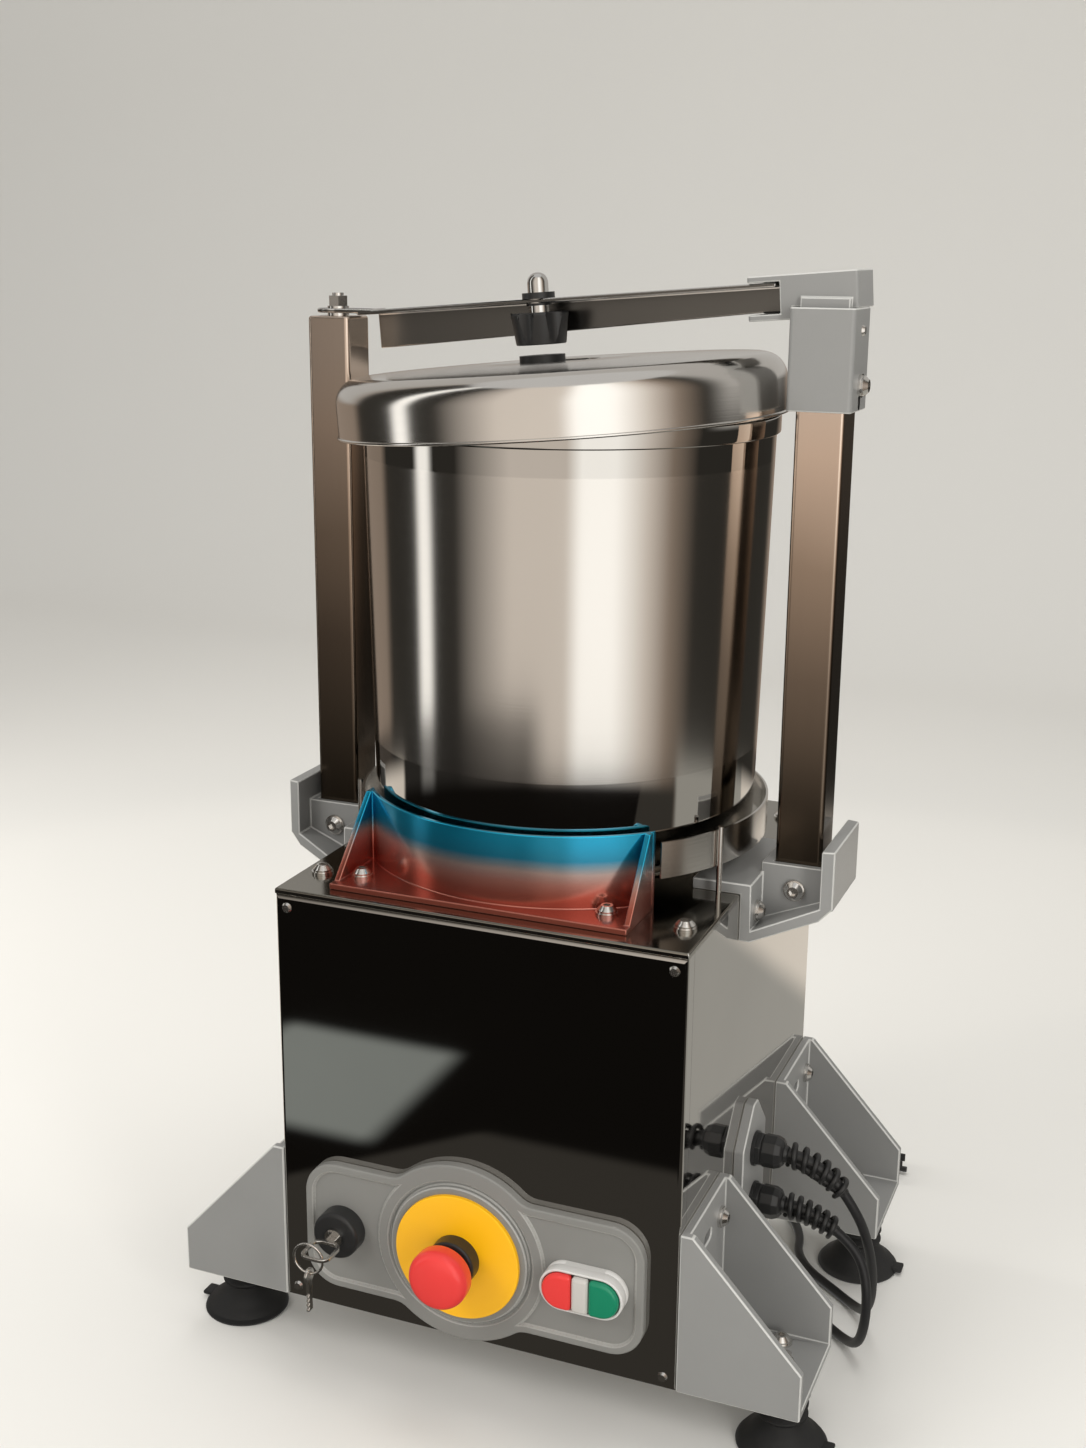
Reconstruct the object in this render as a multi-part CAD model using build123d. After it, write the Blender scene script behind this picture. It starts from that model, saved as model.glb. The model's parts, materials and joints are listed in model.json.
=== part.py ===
from build123d import *
import math
import os

# Tabletop stone grinder: a boxed motor base on four bracket feet carries a turning
# drum with a granite floor and two roller stones. A swing bar between two posts
# presses on the stones through the lid. Millimetres, X along the front panel,
# Y into the depth, Z up, origin on the floor under the middle of the whole footprint.

os.makedirs("parts", exist_ok=True)

# Clearances
fit_gap = 0.05        # running fit, radial
seat_gap = 0.3        # loose seats and covers
slide_gap = 0.4       # bar end in its catch

# The drum axis stands this far behind the middle of the overall depth
axis_back = 24.5

# Drum
drum_clearance = 14
drum_height = 296
drum_bottom_radius = 133
drum_flare = 6.2
drum_top_radius = drum_bottom_radius + drum_flare
drum_wall = 1.5
drum_floor = 2
drum_corner = 12
rim_step = 2.8
rim_radius = drum_top_radius + rim_step
rim_height = 13
granite_thickness = 30
granite_gap = 1
shaft_radius = 12.5
shaft_flange_radius = 45
shaft_flange_thickness = 6
centre_pin_radius = 10
centre_pin_height = 30

# Base box, as wide as the drum and a margin on each side
foot_height = 50
base_margin = 12
base_depth = 322
base_height = 308
sheet = 2
top_thickness = 4
panel_return = 12
bend_radius = 3
half_w = drum_bottom_radius + base_margin
half_d = base_depth / 2
base_top = foot_height + base_height
top_under = base_top - top_thickness
top_screw_inset_x = 15
top_screw_inset_y = 39
vent_length = 60
vent_width = 5
vent_pitch = 14
vent_bottom = 120
vent_spread = 45
floor_vent_x = 60
floor_vent_pitch = 16
floor_gap = 0.2

# Bracket feet
foot_bracket_width = 88
foot_bracket_reach = 83
foot_bracket_height = 115
foot_bracket_lip = 33.6
foot_bracket_land = 8.5
foot_plate = 6
gusset_thickness = 6
foot_bolt_offset = 28
foot_wall_bolt_rise = 91
foot_slot_length = 16
foot_stud_reach = 62
cup_radius = 31
cup_edge = 2.5
cup_height = 20
neck_radius = 13
neck_fold = 4
neck_folds = 2
fold_pitch = 8
tab_reach = 5
tab_half_width = 6

# Fasteners
bolt_radius = 4
bolt_head_radius = 6.5
bolt_head_height = 4.4
washer_radius = 7.5
washer_thickness = 1.6
screw_radius = 2
screw_head_radius = 3.6
screw_head_height = 1.8
panel_screw_inset = 9

# Posts and their lower brackets
post_size = 32
post_wall = 2
post_corner = 3
post_stand = 30
post_x = half_w + post_stand
post_sink = 13
post_seat = base_top - post_sink
bracket_half_length = 50
bracket_outer_half = 36
bracket_flange_reach = 33
bracket_plate = 7.5
bracket_leg_drop = 33
bracket_leg_bottom = base_top - bracket_leg_drop
bracket_socket_half = 21.5
bracket_socket_rise = 15
bracket_socket_top = base_top + bracket_socket_rise
bracket_outer_wall = 8.5
bracket_outer_drop = 16
bracket_outer_rise = 33
bracket_outer_bottom = base_top - bracket_outer_drop
bracket_outer_top = base_top + bracket_outer_rise
bracket_chamfer = 9
bracket_web = 8
bracket_outer_reach = 29.5
bracket_outer_x = post_x + bracket_outer_reach
post_bolt_rise = 11
leg_bolt_y = 35
leg_bolt_drop = 15
leg_bolt_z = base_top - leg_bolt_drop

# Roller stones and their yoke
stone_radius = 45
stone_inner = 32
stone_outer = 92
stone_bore = 12
stone_lift = 0.3
stone_round = 3
axle_radius = 9
axle_collar_radius = 14
axle_collar = 5
axle_gap = 0.6
hub_radius = 24
hub_rise = 22
hub_drop = 24
ball_radius = 9
ball_gap = 0.3
scraper_gap = 1.5
scraper_arm = 12
scraper_width = 44
scraper_blade = 6
scraper_rise = 50
scraper_inset = 8

# Bar, screw, pressure post and lid share one leaning axis through the ball seat
lean = 4.6
lid_overlap = 10.7
bar_over_lid = 41
bar_thickness = 3
bar_front = 9
bar_back = 26
bar_left_inset = 42
bar_right_inset = 10
bar_left = post_x - bar_left_inset
bar_right = post_x - bar_right_inset
bar_drop_left = 27
bar_drop_right = 19
tab_half = 11
tab_inset = 31
tab_overhang = 15
tab_inner = post_x - tab_inset
tab_outer = post_x + tab_overhang
tab_step = 3.7
pivot_washer = 2
bush_flange_radius = 11
bush_flange = 4
bush_radius = 8.5
screw_shaft_radius = 7
screw_dome_rise = 17
knob_top_drop = 9
knob_height = 21
knob_radius = 20.5
knob_base_radius = 16.8
knob_lobes = 6
knob_scallop = 9
knob_scallop_depth = 3.4
knob_scallop_turn = 22
knob_round = 1.6
post_stem_radius = 9
lid_rest_radius = 46
lid_rest_thickness = 4
cap_radius = 15.5
cap_height = 4
lid_height = 42
lid_crown = 3
lid_room = 9.5
lid_radius = rim_radius + lid_room
lid_sheet = 1.2
lid_round = 17
lid_hem = 2
lid_hem_out = 0.8
lid_hole = 29
lid_flat = 62
lid_shift = 12

# Heights that follow: the drum, the ball seat, the lid's edge and the bar's upper face above it
drum_bottom = base_top + drum_clearance
drum_top = drum_bottom + drum_height
granite_bottom = drum_bottom + drum_floor
granite_top = granite_bottom + granite_thickness
ball_z = granite_top + stone_radius + stone_lift
lid_bottom = drum_top - ball_z - lid_overlap
bar_level = lid_bottom + lid_height + bar_over_lid


def bar_height(along):
    turn = math.radians(lean)
    return ball_z + bar_level * math.cos(turn) + along * math.sin(turn)


left_post_top = bar_height(-bar_left) - tab_step

# Bar catch on the right post
catch_drop = 40.6
right_post_top = bar_height(bar_right) - catch_drop
sleeve_half_x = 21
sleeve_left = post_x - sleeve_half_x
sleeve_right = post_x + sleeve_half_x
sleeve_half = 22
sleeve_over = 26
sleeve_height = 64
sleeve_top = right_post_top + sleeve_over
sleeve_bottom = sleeve_top - sleeve_height
sleeve_bolt_rise = 16
sleeve_bolt_z = sleeve_bottom + sleeve_bolt_rise
sleeve_screw_drop = 14
sleeve_screw_z = sleeve_top - sleeve_screw_drop
catch_inset = 28
catch_reach = 43
catch_left = post_x - catch_inset
catch_right = post_x + catch_reach
catch_front = 12
catch_back = 33
catch_recess = 21
catch_lip = 4
catch_corner = 2

# Fence and guard band round the drum
fence_left = -110
fence_right = 100
fence_front_inset = 12
fence_front = fence_front_inset - half_d
fence_plate = 4
fence_gap = 5
fence_inner = drum_bottom_radius + fence_gap
fence_thickness = 3
fence_height = 49
fence_gusset = 4
fence_gusset_inset = 6
fence_bolt_inset_left = 13
fence_bolt_inset_right = 21
fence_bolt_inset_front = 22
fence_bolt_left = fence_left + fence_bolt_inset_left
fence_bolt_right = fence_right - fence_bolt_inset_right
fence_bolt_y = fence_front + fence_bolt_inset_front
band_gap = 9.2
band_inner = drum_bottom_radius + band_gap
band_thickness = 1.5
band_rise = 21.5
band_bottom = base_top + band_rise
band_height = 24.5
band_end_gap = 3
standoff_radius = 2
standoff_angles = (-24, 55, 125, 204)
standoff_over = 3

# Drive inside the base
bearing_radius = 31
bearing_width = 17
housing_radius = 38
housing_flange_radius = 60
housing_flange = 8
housing_drop = 92
top_hole = 22
pulley_drop = 143
pulley_level = base_top - pulley_drop
shaft_tail = 25
shaft_bottom = pulley_level - shaft_tail
belt_width = 12
belt_thickness = 5
drum_pulley_radius = 76
motor_pulley_radius = 26
pulley_rim = 3
pulley_flange = 4
motor_inset_x = 70
motor_inset_y = 73
motor_x = motor_inset_x - half_w
motor_y = half_d - motor_inset_y
motor_radius = 52
motor_drop = 25
motor_top = pulley_level - motor_drop
motor_shaft_radius = 7
motor_foot = 112
motor_foot_height = 10
motor_box_rise = 40
motor_box_height = 50
motor_box_reach = 22
motor_box_width = 48
motor_end_step = 6
motor_rib = 8

# Control plate
plate_x = -7
plate_z = 119
plate_circle = 65
plate_left = -124
plate_right = 124
lobe_bottom = 71
lobe_top = 165
lobe_corner = 24
waist_round = 16
plate_thickness = 5
plate_rim = 2
plate_rim_width = 6
plate_round = 1.5
ridge_outer = 61
ridge_inner = 53
boss_radius = 50
boss_height = 4
disc_radius = 45
disc_thickness = 3
collar_radius = 17
collar_height = 11
barrel_radius = 11
barrel_clear = 0.5
block_width = 30
block_height = 42
block_depth = 32
plunger_radius = 6
head_radius = 21
head_height = 19
head_skirt = 6
head_bore_depth = 10
press_travel = 6
key_x = -96
key_z = 117
key_bezel_radius = 17
key_bezel_height = 13
lock_radius = 6.5
lock_proud = 2
key_blade = 2.2
key_blade_height = 7
key_slot_depth = 14
key_bow_height = 24
key_bow_width = 22
key_bow_bar = 2.4
ring_radius = 11
ring_wire = 0.9
spare_length = 32
spare_head = 11
spare_blade = 5.5
notch_depth = 1.5
notch_pitch = 3.4
notches = 4
button_x = 84
button_z = 117
bezel_width = 58
bezel_height = 30
bezel_depth = 8
button_width = 22
button_height = 22
button_proud = 4
button_travel = 3
lens_width = 6

# Cable entry on the right side
entry_y = -10
entry_z = 137
entry_half = 29
entry_tall = 52
entry_thickness = 7.4
entry_tip = 5
gland_rise = 16
gland_drop = 24
gland_z = (entry_z + gland_rise, entry_z - gland_drop)
gland_nut_radius = 13
gland_nut = 7
gland_dome_radius = 12
gland_dome = 15
gland_thread_radius = 9
relief_start_radius = 9.5
relief_end_radius = 6.5
relief_core = 4.8
relief_ribs = 8
relief_rib = 3
relief_end_gap = 0.2
relief_bends = ((55, 53), (70, 35))

# Cords: both drop to the floor, pass under the base and lie coiled behind it
cord_radius = 3.5
cord_floor = cord_radius + 0.1
turn_pitch = 7.2
coil_layers = 2
mains_coil_spot = (100, 225)
mains_coil_radius = 50
mains_coil_turns = 3
aux_coil_spot = (-25, 222)
aux_coil_radius = 47
aux_coil_turns = 2
plug_length = 40
plug_width = 38
plug_height = 23.8
plug_corner = 6
plug_nose = 4
blade_spread = 6.3
blade_half = 0.8
blade_rise = 3.2
blade_reach = 17
earth_drop = 7.5
earth_radius = 2.4
earth_reach = 20
connector_length = 32
connector_radius = 9.4
connector_step = 1.6
coupling_start = 17.6
coupling_length = 11
connector_mouth = 7
connector_wall = 1.4
contact_circle = 3.2
contact_radius = 0.8


def block(x0, x1, y0, y1, z0, z1):
    centre = Pos((x0 + x1) / 2, (y0 + y1) / 2, (z0 + z1) / 2)
    return centre * Box(x1 - x0, y1 - y0, z1 - z0)


def rod_z(x, y, z0, z1, radius):
    return Pos(x, y, (z0 + z1) / 2) * Cylinder(radius, z1 - z0)


def rod_x(x0, x1, y, z, radius):
    return Pos((x0 + x1) / 2, y, z) * Rot(0, 90, 0) * Cylinder(radius, x1 - x0)


def rod_y(x, y0, y1, z, radius):
    return Pos(x, (y0 + y1) / 2, z) * Rot(90, 0, 0) * Cylinder(radius, y1 - y0)


def lathe(*points):
    profile = Plane.XZ * make_face(Polyline(*points, close=True))
    return revolve(profile, Axis.Z)


def prism_xz(y0, y1, *points):
    profile = Plane(origin=(0, y1, 0), x_dir=(1, 0, 0), z_dir=(0, -1, 0))
    return extrude(profile * make_face(Polyline(*points, close=True)), y1 - y0)


def prism_yz(x0, x1, *points):
    profile = Plane(origin=(x0, 0, 0), x_dir=(0, 1, 0), z_dir=(1, 0, 0))
    return extrude(profile * make_face(Polyline(*points, close=True)), x1 - x0)


def prism_xy(z0, z1, *points):
    return extrude(Pos(0, 0, z0) * make_face(Polyline(*points, close=True)), z1 - z0)


def polar(radius, angle):
    turn = math.radians(angle)
    return (radius * math.cos(turn), radius * math.sin(turn))


def mirrored(shape):
    return mirror(shape, Plane.YZ)


def save(name, *solids):
    placed = [Pos(0, axis_back, 0) * solid for solid in solids]
    shape = placed[0] if len(placed) == 1 else Compound(children=placed)
    export_step(shape, "parts/" + name + ".step")


# A button-head bolt with its washer, head at the origin pointing along +Z
def bolt(length):
    dome = lathe((0, 0), (bolt_head_radius, 0), (bolt_head_radius, bolt_head_height * 0.35),
                 (bolt_head_radius * 0.6, bolt_head_height), (0, bolt_head_height))
    socket = Pos(0, 0, bolt_head_height) * extrude(RegularPolygon(2.6, 6), -2.2)
    head = Pos(0, 0, washer_thickness) * (dome - socket)
    shank = rod_z(0, 0, -length, washer_thickness + 0.5, bolt_radius)
    return head + rod_z(0, 0, 0, washer_thickness, washer_radius) + shank


def panel_screw(length):
    head = lathe((0, 0), (screw_head_radius, 0), (screw_head_radius * 0.7, screw_head_height),
                 (0, screw_head_height))
    return head + rod_z(0, 0, -length, 0.4, screw_radius)


face_right = Rot(0, 90, 0)
face_left = Rot(0, -90, 0)
face_front = Rot(90, 0, 0)
face_back = Rot(-90, 0, 0)

# Base: folded front tray, wrapped sides and back, thick top plate, floor plate
panel_face = -half_d
tray_back = panel_face + panel_return
bolt_hole = bolt_radius + fit_gap
screw_hole = screw_radius + fit_gap
barrel_hole = barrel_radius + barrel_clear
top_screw_spots = [(sx * (half_w - top_screw_inset_x), sy * (half_d - top_screw_inset_y))
                   for sx in (-1, 1) for sy in (-1, 1)]

tray = block(-half_w, half_w, panel_face, tray_back, foot_height, top_under)
tray = fillet(tray.faces().sort_by(Axis.Y)[0].edges(), bend_radius)
tray -= block(-half_w + sheet, half_w - sheet, panel_face + sheet, tray_back + 1,
              foot_height + sheet, top_under - sheet)
for x, z, radius in ((plate_x, plate_z, barrel_hole), (key_x, key_z, barrel_hole),
                     (button_x, button_z, barrel_hole)):
    tray -= rod_y(x, panel_face - 1, panel_face + sheet + 1, z, radius)
panel_screws = []
for sx in (-1, 1):
    for z in (foot_height + panel_screw_inset, top_under - panel_screw_inset):
        spot_x = sx * (half_w - panel_screw_inset)
        tray -= rod_y(spot_x, panel_face - 1, panel_face + sheet + 1, z, screw_hole)
        panel_screws.append(Pos(spot_x, panel_face, z) * face_front * panel_screw(6))
save("front_panel", tray)

shell_front = tray_back + seat_gap
shell = block(-half_w, half_w, shell_front, half_d, foot_height, top_under)
shell = fillet(shell.faces().sort_by(Axis.Y)[-1].edges().filter_by(Axis.Z), bend_radius)
shell -= block(-half_w + sheet, half_w - sheet, shell_front - 1, half_d - sheet,
               foot_height - 1, top_under + 1)
gland_hole = gland_thread_radius + fit_gap
for z in gland_z:
    shell -= rod_x(half_w - sheet - 1, half_w + 1, entry_y, z, gland_hole)
vent = extrude(SlotOverall(vent_length, vent_width), 10)
for row in range(6):
    for side in (-1, 1):
        shell -= Pos(side * vent_spread, half_d + 3, vent_bottom + row * vent_pitch) * Rot(90, 0, 0) * vent

floor_plate = block(-half_w + sheet + floor_gap, half_w - sheet - floor_gap,
                    tray_back + floor_gap, half_d - sheet - floor_gap,
                    foot_height, foot_height + sheet)
for row in range(5):
    floor_plate -= Pos(floor_vent_x, (row - 4) * floor_vent_pitch, foot_height - 1) * vent
save("floor_plate", floor_plate)

top_plate = block(-half_w, half_w, -half_d, half_d, top_under, base_top)
top_plate = fillet(top_plate.faces().sort_by(Axis.Z)[-1].edges(), 1.4)
top_plate -= rod_z(0, 0, top_under - 1, base_top + 1, top_hole)

# Bracket feet: wall plate and floor plate between two gussets, cast in one piece
bracket_top = foot_height + foot_bracket_height
bracket_tip = half_w + foot_bracket_reach
pocket_wall = half_w + foot_plate
foot_centres = [(sx, sy * (half_d - foot_bracket_width / 2)) for sx in (-1, 1) for sy in (-1, 1)]
foot_names = ("front_left", "rear_left", "front_right", "rear_right")
stud_x = half_w + foot_stud_reach
slot_cut = extrude(SlotOverall(foot_slot_length, 2 * bolt_radius), 3 * foot_plate)


def foot_bracket(y):
    y0 = y - foot_bracket_width / 2
    y1 = y + foot_bracket_width / 2
    body = prism_xz(y0, y1, (half_w, foot_height), (bracket_tip, foot_height),
                    (bracket_tip, foot_height + foot_bracket_lip),
                    (half_w + foot_bracket_land, bracket_top), (half_w, bracket_top))
    outer = body.edges().filter_by(Axis.Y).group_by(Axis.X)[-1]
    body = fillet(outer, 1.5)
    body -= block(pocket_wall, bracket_tip + 5, y0 + gusset_thickness, y1 - gusset_thickness,
                  foot_height + foot_plate, bracket_top + 5)
    bolt_y = y + foot_bolt_offset
    body -= rod_x(half_w - 1, pocket_wall + 1, bolt_y, foot_height + foot_wall_bolt_rise, bolt_hole)
    slot_spot = Pos(half_w - 2, y, foot_height + foot_wall_bolt_rise)
    body -= slot_spot * Rot(0, 90, 0) * Rot(0, 0, 90) * slot_cut
    body -= rod_z(stud_x - 10, bolt_y, foot_height - 1, foot_height + foot_plate + 1, bolt_hole)
    body -= rod_z(stud_x, y, foot_height - 1, foot_height + foot_plate + 1, bolt_hole)
    return body


# Bellows-necked rubber suction foot with a release tab on its outer side
def rubber_foot(x, y, side):
    ring = neck_radius + neck_fold
    profile = [(0, 0), (cup_radius, 0), (cup_radius, cup_edge), (cup_radius - 3, cup_edge + 3.5),
               (cup_radius - 9, cup_height - 9), (neck_radius + 3, cup_height - 3)]
    for fold in range(neck_folds):
        fold_z = cup_height + fold * fold_pitch
        profile += [(neck_radius, fold_z), (ring, fold_z + fold_pitch / 2)]
    fold_z = cup_height + neck_folds * fold_pitch
    profile += [(neck_radius, fold_z), (ring + 1, fold_z + neck_fold), (ring + 1, foot_height),
                (0, foot_height)]
    body = lathe(*profile)
    tab = block(side * cup_radius - tab_reach, side * cup_radius + tab_reach,
                -tab_half_width, tab_half_width, cup_edge - 0.5, cup_edge + 3.5)
    return Pos(x, y, 0) * (body + tab)


bracket_fasteners = []
feet = []
shell_bolt_z = foot_height + foot_wall_bolt_rise
for name, (side, y) in zip(foot_names, foot_centres):
    bracket = foot_bracket(y)
    wall_bolt = Pos(pocket_wall, y + foot_bolt_offset, shell_bolt_z) * face_right * bolt(9)
    floor_bolt = Pos(stud_x - 10, y + foot_bolt_offset, foot_height + foot_plate) * bolt(foot_plate)
    nut = Pos(stud_x, y, foot_height + foot_plate) * extrude(RegularPolygon(7, 6), 6)
    stud = rod_z(stud_x, y, foot_height, foot_height + foot_plate + 12, bolt_radius)
    parts = [bracket, wall_bolt, floor_bolt, nut + stud]
    if side < 0:
        parts = [mirrored(part) for part in parts]
    save("foot_bracket_" + name, parts[0])
    bracket_fasteners += parts[1:]
    feet.append(rubber_foot(side * stud_x, y, side))
    shell -= rod_x(side * half_w - 3, side * half_w + 3, y + foot_bolt_offset, shell_bolt_z, bolt_hole)
save("rubber_feet", *feet)

# Post brackets: flange on the top plate, leg down the side, socket round the post
socket_gap = fit_gap
socket = post_size / 2 + socket_gap
leg_face = half_w + bracket_plate


def post_bracket():
    flange_x = half_w - bracket_flange_reach
    body = block(half_w, leg_face, -bracket_half_length, bracket_half_length,
                 bracket_leg_bottom, base_top + bracket_plate)
    body += block(flange_x, leg_face, -bracket_half_length, bracket_half_length,
                  base_top, base_top + bracket_plate)
    body += prism_xz(-bracket_half_length, bracket_half_length,
                     (half_w, bracket_leg_bottom), (leg_face, bracket_leg_bottom),
                     (bracket_outer_x - bracket_outer_wall, bracket_outer_bottom),
                     (bracket_outer_x, bracket_outer_bottom + bracket_chamfer),
                     (bracket_outer_x, bracket_outer_bottom + bracket_chamfer + bracket_web),
                     (bracket_outer_x - bracket_outer_wall, bracket_outer_bottom + bracket_web + 1),
                     (leg_face, bracket_leg_bottom + bracket_web),
                     (half_w, bracket_leg_bottom + bracket_web))
    body += block(bracket_outer_x - bracket_outer_wall, bracket_outer_x, -bracket_half_length,
                  bracket_half_length, bracket_outer_bottom + bracket_web, bracket_outer_top)
    body += prism_xz(-bracket_socket_half, bracket_socket_half,
                     (half_w, bracket_leg_bottom + 2), (leg_face, bracket_leg_bottom + 2),
                     (bracket_outer_x - 2, bracket_outer_bottom + 8),
                     (bracket_outer_x - 2, bracket_socket_top), (leg_face - 1, bracket_socket_top),
                     (leg_face - 1, base_top), (half_w, base_top))
    plan = prism_xy(bracket_leg_bottom - 5, bracket_outer_top + 5,
                    (flange_x - 1, -bracket_half_length), (leg_face, -bracket_half_length),
                    (bracket_outer_x, -bracket_outer_half), (bracket_outer_x, bracket_outer_half),
                    (leg_face, bracket_half_length), (flange_x - 1, bracket_half_length))
    body &= plan
    body -= block(post_x - socket, post_x + socket, -socket, socket, post_seat, bracket_outer_top + 1)
    for way in (-1, 1):
        bolt_z = post_seat + post_bolt_rise
        body -= rod_y(post_x, way * socket - 8, way * socket + 8, bolt_z, bolt_hole)
        body -= rod_x(half_w - 1, leg_face + 1, way * leg_bolt_y, leg_bolt_z, bolt_hole)
    return body


right_bracket = post_bracket()
save("post_bracket_right", right_bracket)
save("post_bracket_left", mirrored(right_bracket))


def square_tube(x, z0, z1, top_hole_radius):
    outer = extrude(Pos(x, 0, z0) * RectangleRounded(post_size, post_size, post_corner), z1 - z0)
    outer = fillet(outer.faces().sort_by(Axis.Z)[-1].edges(), 2)
    inside = post_size - 2 * post_wall
    hollow_face = RectangleRounded(inside, inside, post_corner - post_wall / 2)
    inner = extrude(Pos(x, 0, z0 - 1) * hollow_face, z1 - z0 + 1 - post_wall)
    tube = outer - inner
    for way in (-1, 1):
        tube -= rod_y(x, way * post_size / 2 - 5, way * post_size / 2 + 5,
                      post_seat + post_bolt_rise, bolt_hole)
    if top_hole_radius:
        tube -= rod_z(x, 0, z1 - 5, z1 + 1, top_hole_radius)
    return tube


right_post = square_tube(post_x, post_seat, right_post_top, 0)
right_post -= rod_x(post_x, post_x + post_size, 0, sleeve_bolt_z, bolt_hole)
save("post_right", right_post)
save("post_left", square_tube(-post_x, post_seat, left_post_top, bolt_hole))

post_bolts = []
for side in (-1, 1):
    for way, turn in ((-1, face_front), (1, face_back)):
        spot = Pos(side * post_x, way * bracket_socket_half, post_seat + post_bolt_rise)
        post_bolts.append(spot * turn * bolt(10))
        leg_spot = Pos(side * leg_face, way * leg_bolt_y, leg_bolt_z)
        post_bolts.append(leg_spot * (face_right if side > 0 else face_left) * bolt(14))
        shell -= rod_x(side * half_w - 3, side * half_w + 3, way * leg_bolt_y, leg_bolt_z, bolt_hole)
sleeve_bolt = Pos(sleeve_right, 0, sleeve_bolt_z) * face_right * bolt(9)
save("side_shell", shell)

# Top plate bolts, fence bolts share their form
top_bolts = []
for x, y in top_screw_spots:
    top_plate -= rod_z(x, y, top_under - 1, base_top + 1, bolt_hole)
    top_bolts.append(Pos(x, y, base_top) * bolt(10))
fence_bolt_spots = [(x, fence_bolt_y) for x in (fence_bolt_left, fence_bolt_right)]
for x, y in fence_bolt_spots:
    top_plate -= rod_z(x, y, top_under - 1, base_top + 1, bolt_hole)
    top_bolts.append(Pos(x, y, base_top + fence_plate) * bolt(12))
save("top_plate", top_plate)

# Fence in front of the drum: bolted foot, curved wall, two end gussets
fence_outer = fence_inner + fence_thickness
fence_foot = base_top + fence_plate
fence_top = fence_foot + fence_height
fence = block(fence_left, fence_right, fence_front, -fence_inner / 2, base_top, fence_foot)
ring = rod_z(0, 0, fence_foot - 1, fence_top, fence_outer)
fence += ring & block(fence_left, fence_right, -fence_outer - 1, -fence_inner / 2,
                      fence_foot - 1, fence_top)
for x0, x1 in ((fence_left, fence_left + fence_gusset), (fence_right - fence_gusset, fence_right)):
    middle = (x0 + x1) / 2
    wall_y = -math.sqrt(fence_outer ** 2 - middle ** 2) + 1
    fence += prism_yz(x0, x1, (fence_front + fence_gusset_inset, fence_foot - 1),
                      (wall_y, fence_foot - 1), (wall_y, fence_top), (wall_y - 5, fence_top))
fence -= rod_z(0, 0, base_top - 1, fence_top + 1, fence_inner)
for x, y in fence_bolt_spots:
    fence -= rod_z(x, y, base_top - 1, fence_foot + 1, bolt_hole)
save("fence_guard", fence)

# Guard band: an open ring round the rest of the drum on four thin standoffs
band_outer = band_inner + band_thickness
band_top = band_bottom + band_height
band = rod_z(0, 0, band_bottom, band_top, band_outer)
band -= rod_z(0, 0, band_bottom - 1, band_top + 1, band_inner)
left_end = -math.degrees(math.acos(fence_left / band_outer)) - band_end_gap
right_end = -math.degrees(math.acos(fence_right / band_outer)) + band_end_gap
left_ray = polar(2 * band_outer, left_end)
right_ray = polar(2 * band_outer, right_end)
band -= prism_xy(band_bottom - 1, band_top + 1, (0, 0), left_ray, (0, -3 * band_outer), right_ray)
for angle in standoff_angles:
    x, y = polar(band_outer + standoff_radius - 0.2, angle)
    band += rod_z(x, y, base_top, band_top + standoff_over, standoff_radius)
save("guard_band", band)

# Drum: tapered spun wall, stepped rim, flat floor on the shaft flange
rim_bottom = drum_top - rim_height
drum = lathe((0, drum_bottom), (drum_bottom_radius, drum_bottom), (drum_top_radius, rim_bottom),
             (rim_radius, rim_bottom + 1.5), (rim_radius, drum_top), (0, drum_top))
drum = fillet(drum.edges().filter_by(GeomType.CIRCLE).sort_by(Axis.Z)[0], drum_corner)
cavity = lathe((0, granite_bottom), (drum_bottom_radius - drum_wall, granite_bottom),
               (drum_top_radius - drum_wall, rim_bottom), (drum_top_radius, drum_top + 1),
               (0, drum_top + 1))
cavity = fillet(cavity.edges().filter_by(GeomType.CIRCLE).sort_by(Axis.Z)[0], drum_corner - drum_floor)
drum -= cavity
pin_bore = centre_pin_radius + fit_gap
drum -= rod_z(0, 0, drum_bottom - 1, drum_bottom + drum_floor + 1, pin_bore)
save("drum", drum)

granite_radius = drum_bottom_radius - drum_wall - granite_gap
granite = rod_z(0, 0, granite_bottom, granite_top, granite_radius)
granite = chamfer(granite.edges().filter_by(GeomType.CIRCLE).sort_by(Axis.Z)[0], drum_corner - 2)
granite = fillet(granite.edges().filter_by(GeomType.CIRCLE).sort_by(Axis.Z)[-1], 2)
granite -= rod_z(0, 0, granite_bottom - 1, granite_top + 1, pin_bore)
save("granite_base", granite)

shaft_top = granite_top + centre_pin_height
flange_bottom = drum_bottom - shaft_flange_thickness
shaft = lathe((0, shaft_bottom), (shaft_radius, shaft_bottom), (shaft_radius, flange_bottom),
              (shaft_flange_radius, flange_bottom), (shaft_flange_radius, drum_bottom),
              (centre_pin_radius, drum_bottom), (centre_pin_radius, shaft_top - 1),
              (centre_pin_radius - 1, shaft_top), (0, shaft_top))
save("drum_shaft", shaft)

# Yoke: a hub over the centre pin carries the two stone axles and a wall scraper
axle_z = ball_z
hub_top = axle_z + hub_rise
hub_bottom = axle_z - hub_drop
yoke = rod_z(0, 0, hub_bottom, hub_top, hub_radius)
yoke = fillet(yoke.edges().filter_by(GeomType.CIRCLE), 2)
collar_start = stone_outer + axle_gap
yoke += rod_x(-collar_start - axle_collar, collar_start + axle_collar, 0, axle_z, axle_radius)
for side in (-1, 1):
    inner_collar = side * (stone_inner - axle_gap)
    hub_side = side * (hub_radius - 4)
    outer_collar = side * (collar_start + axle_collar)
    for ends in ((inner_collar, hub_side), (side * collar_start, outer_collar)):
        yoke += rod_x(min(ends), max(ends), 0, axle_z, axle_collar_radius)
yoke -= rod_z(0, 0, hub_bottom - 1, shaft_top + seat_gap, pin_bore)
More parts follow.
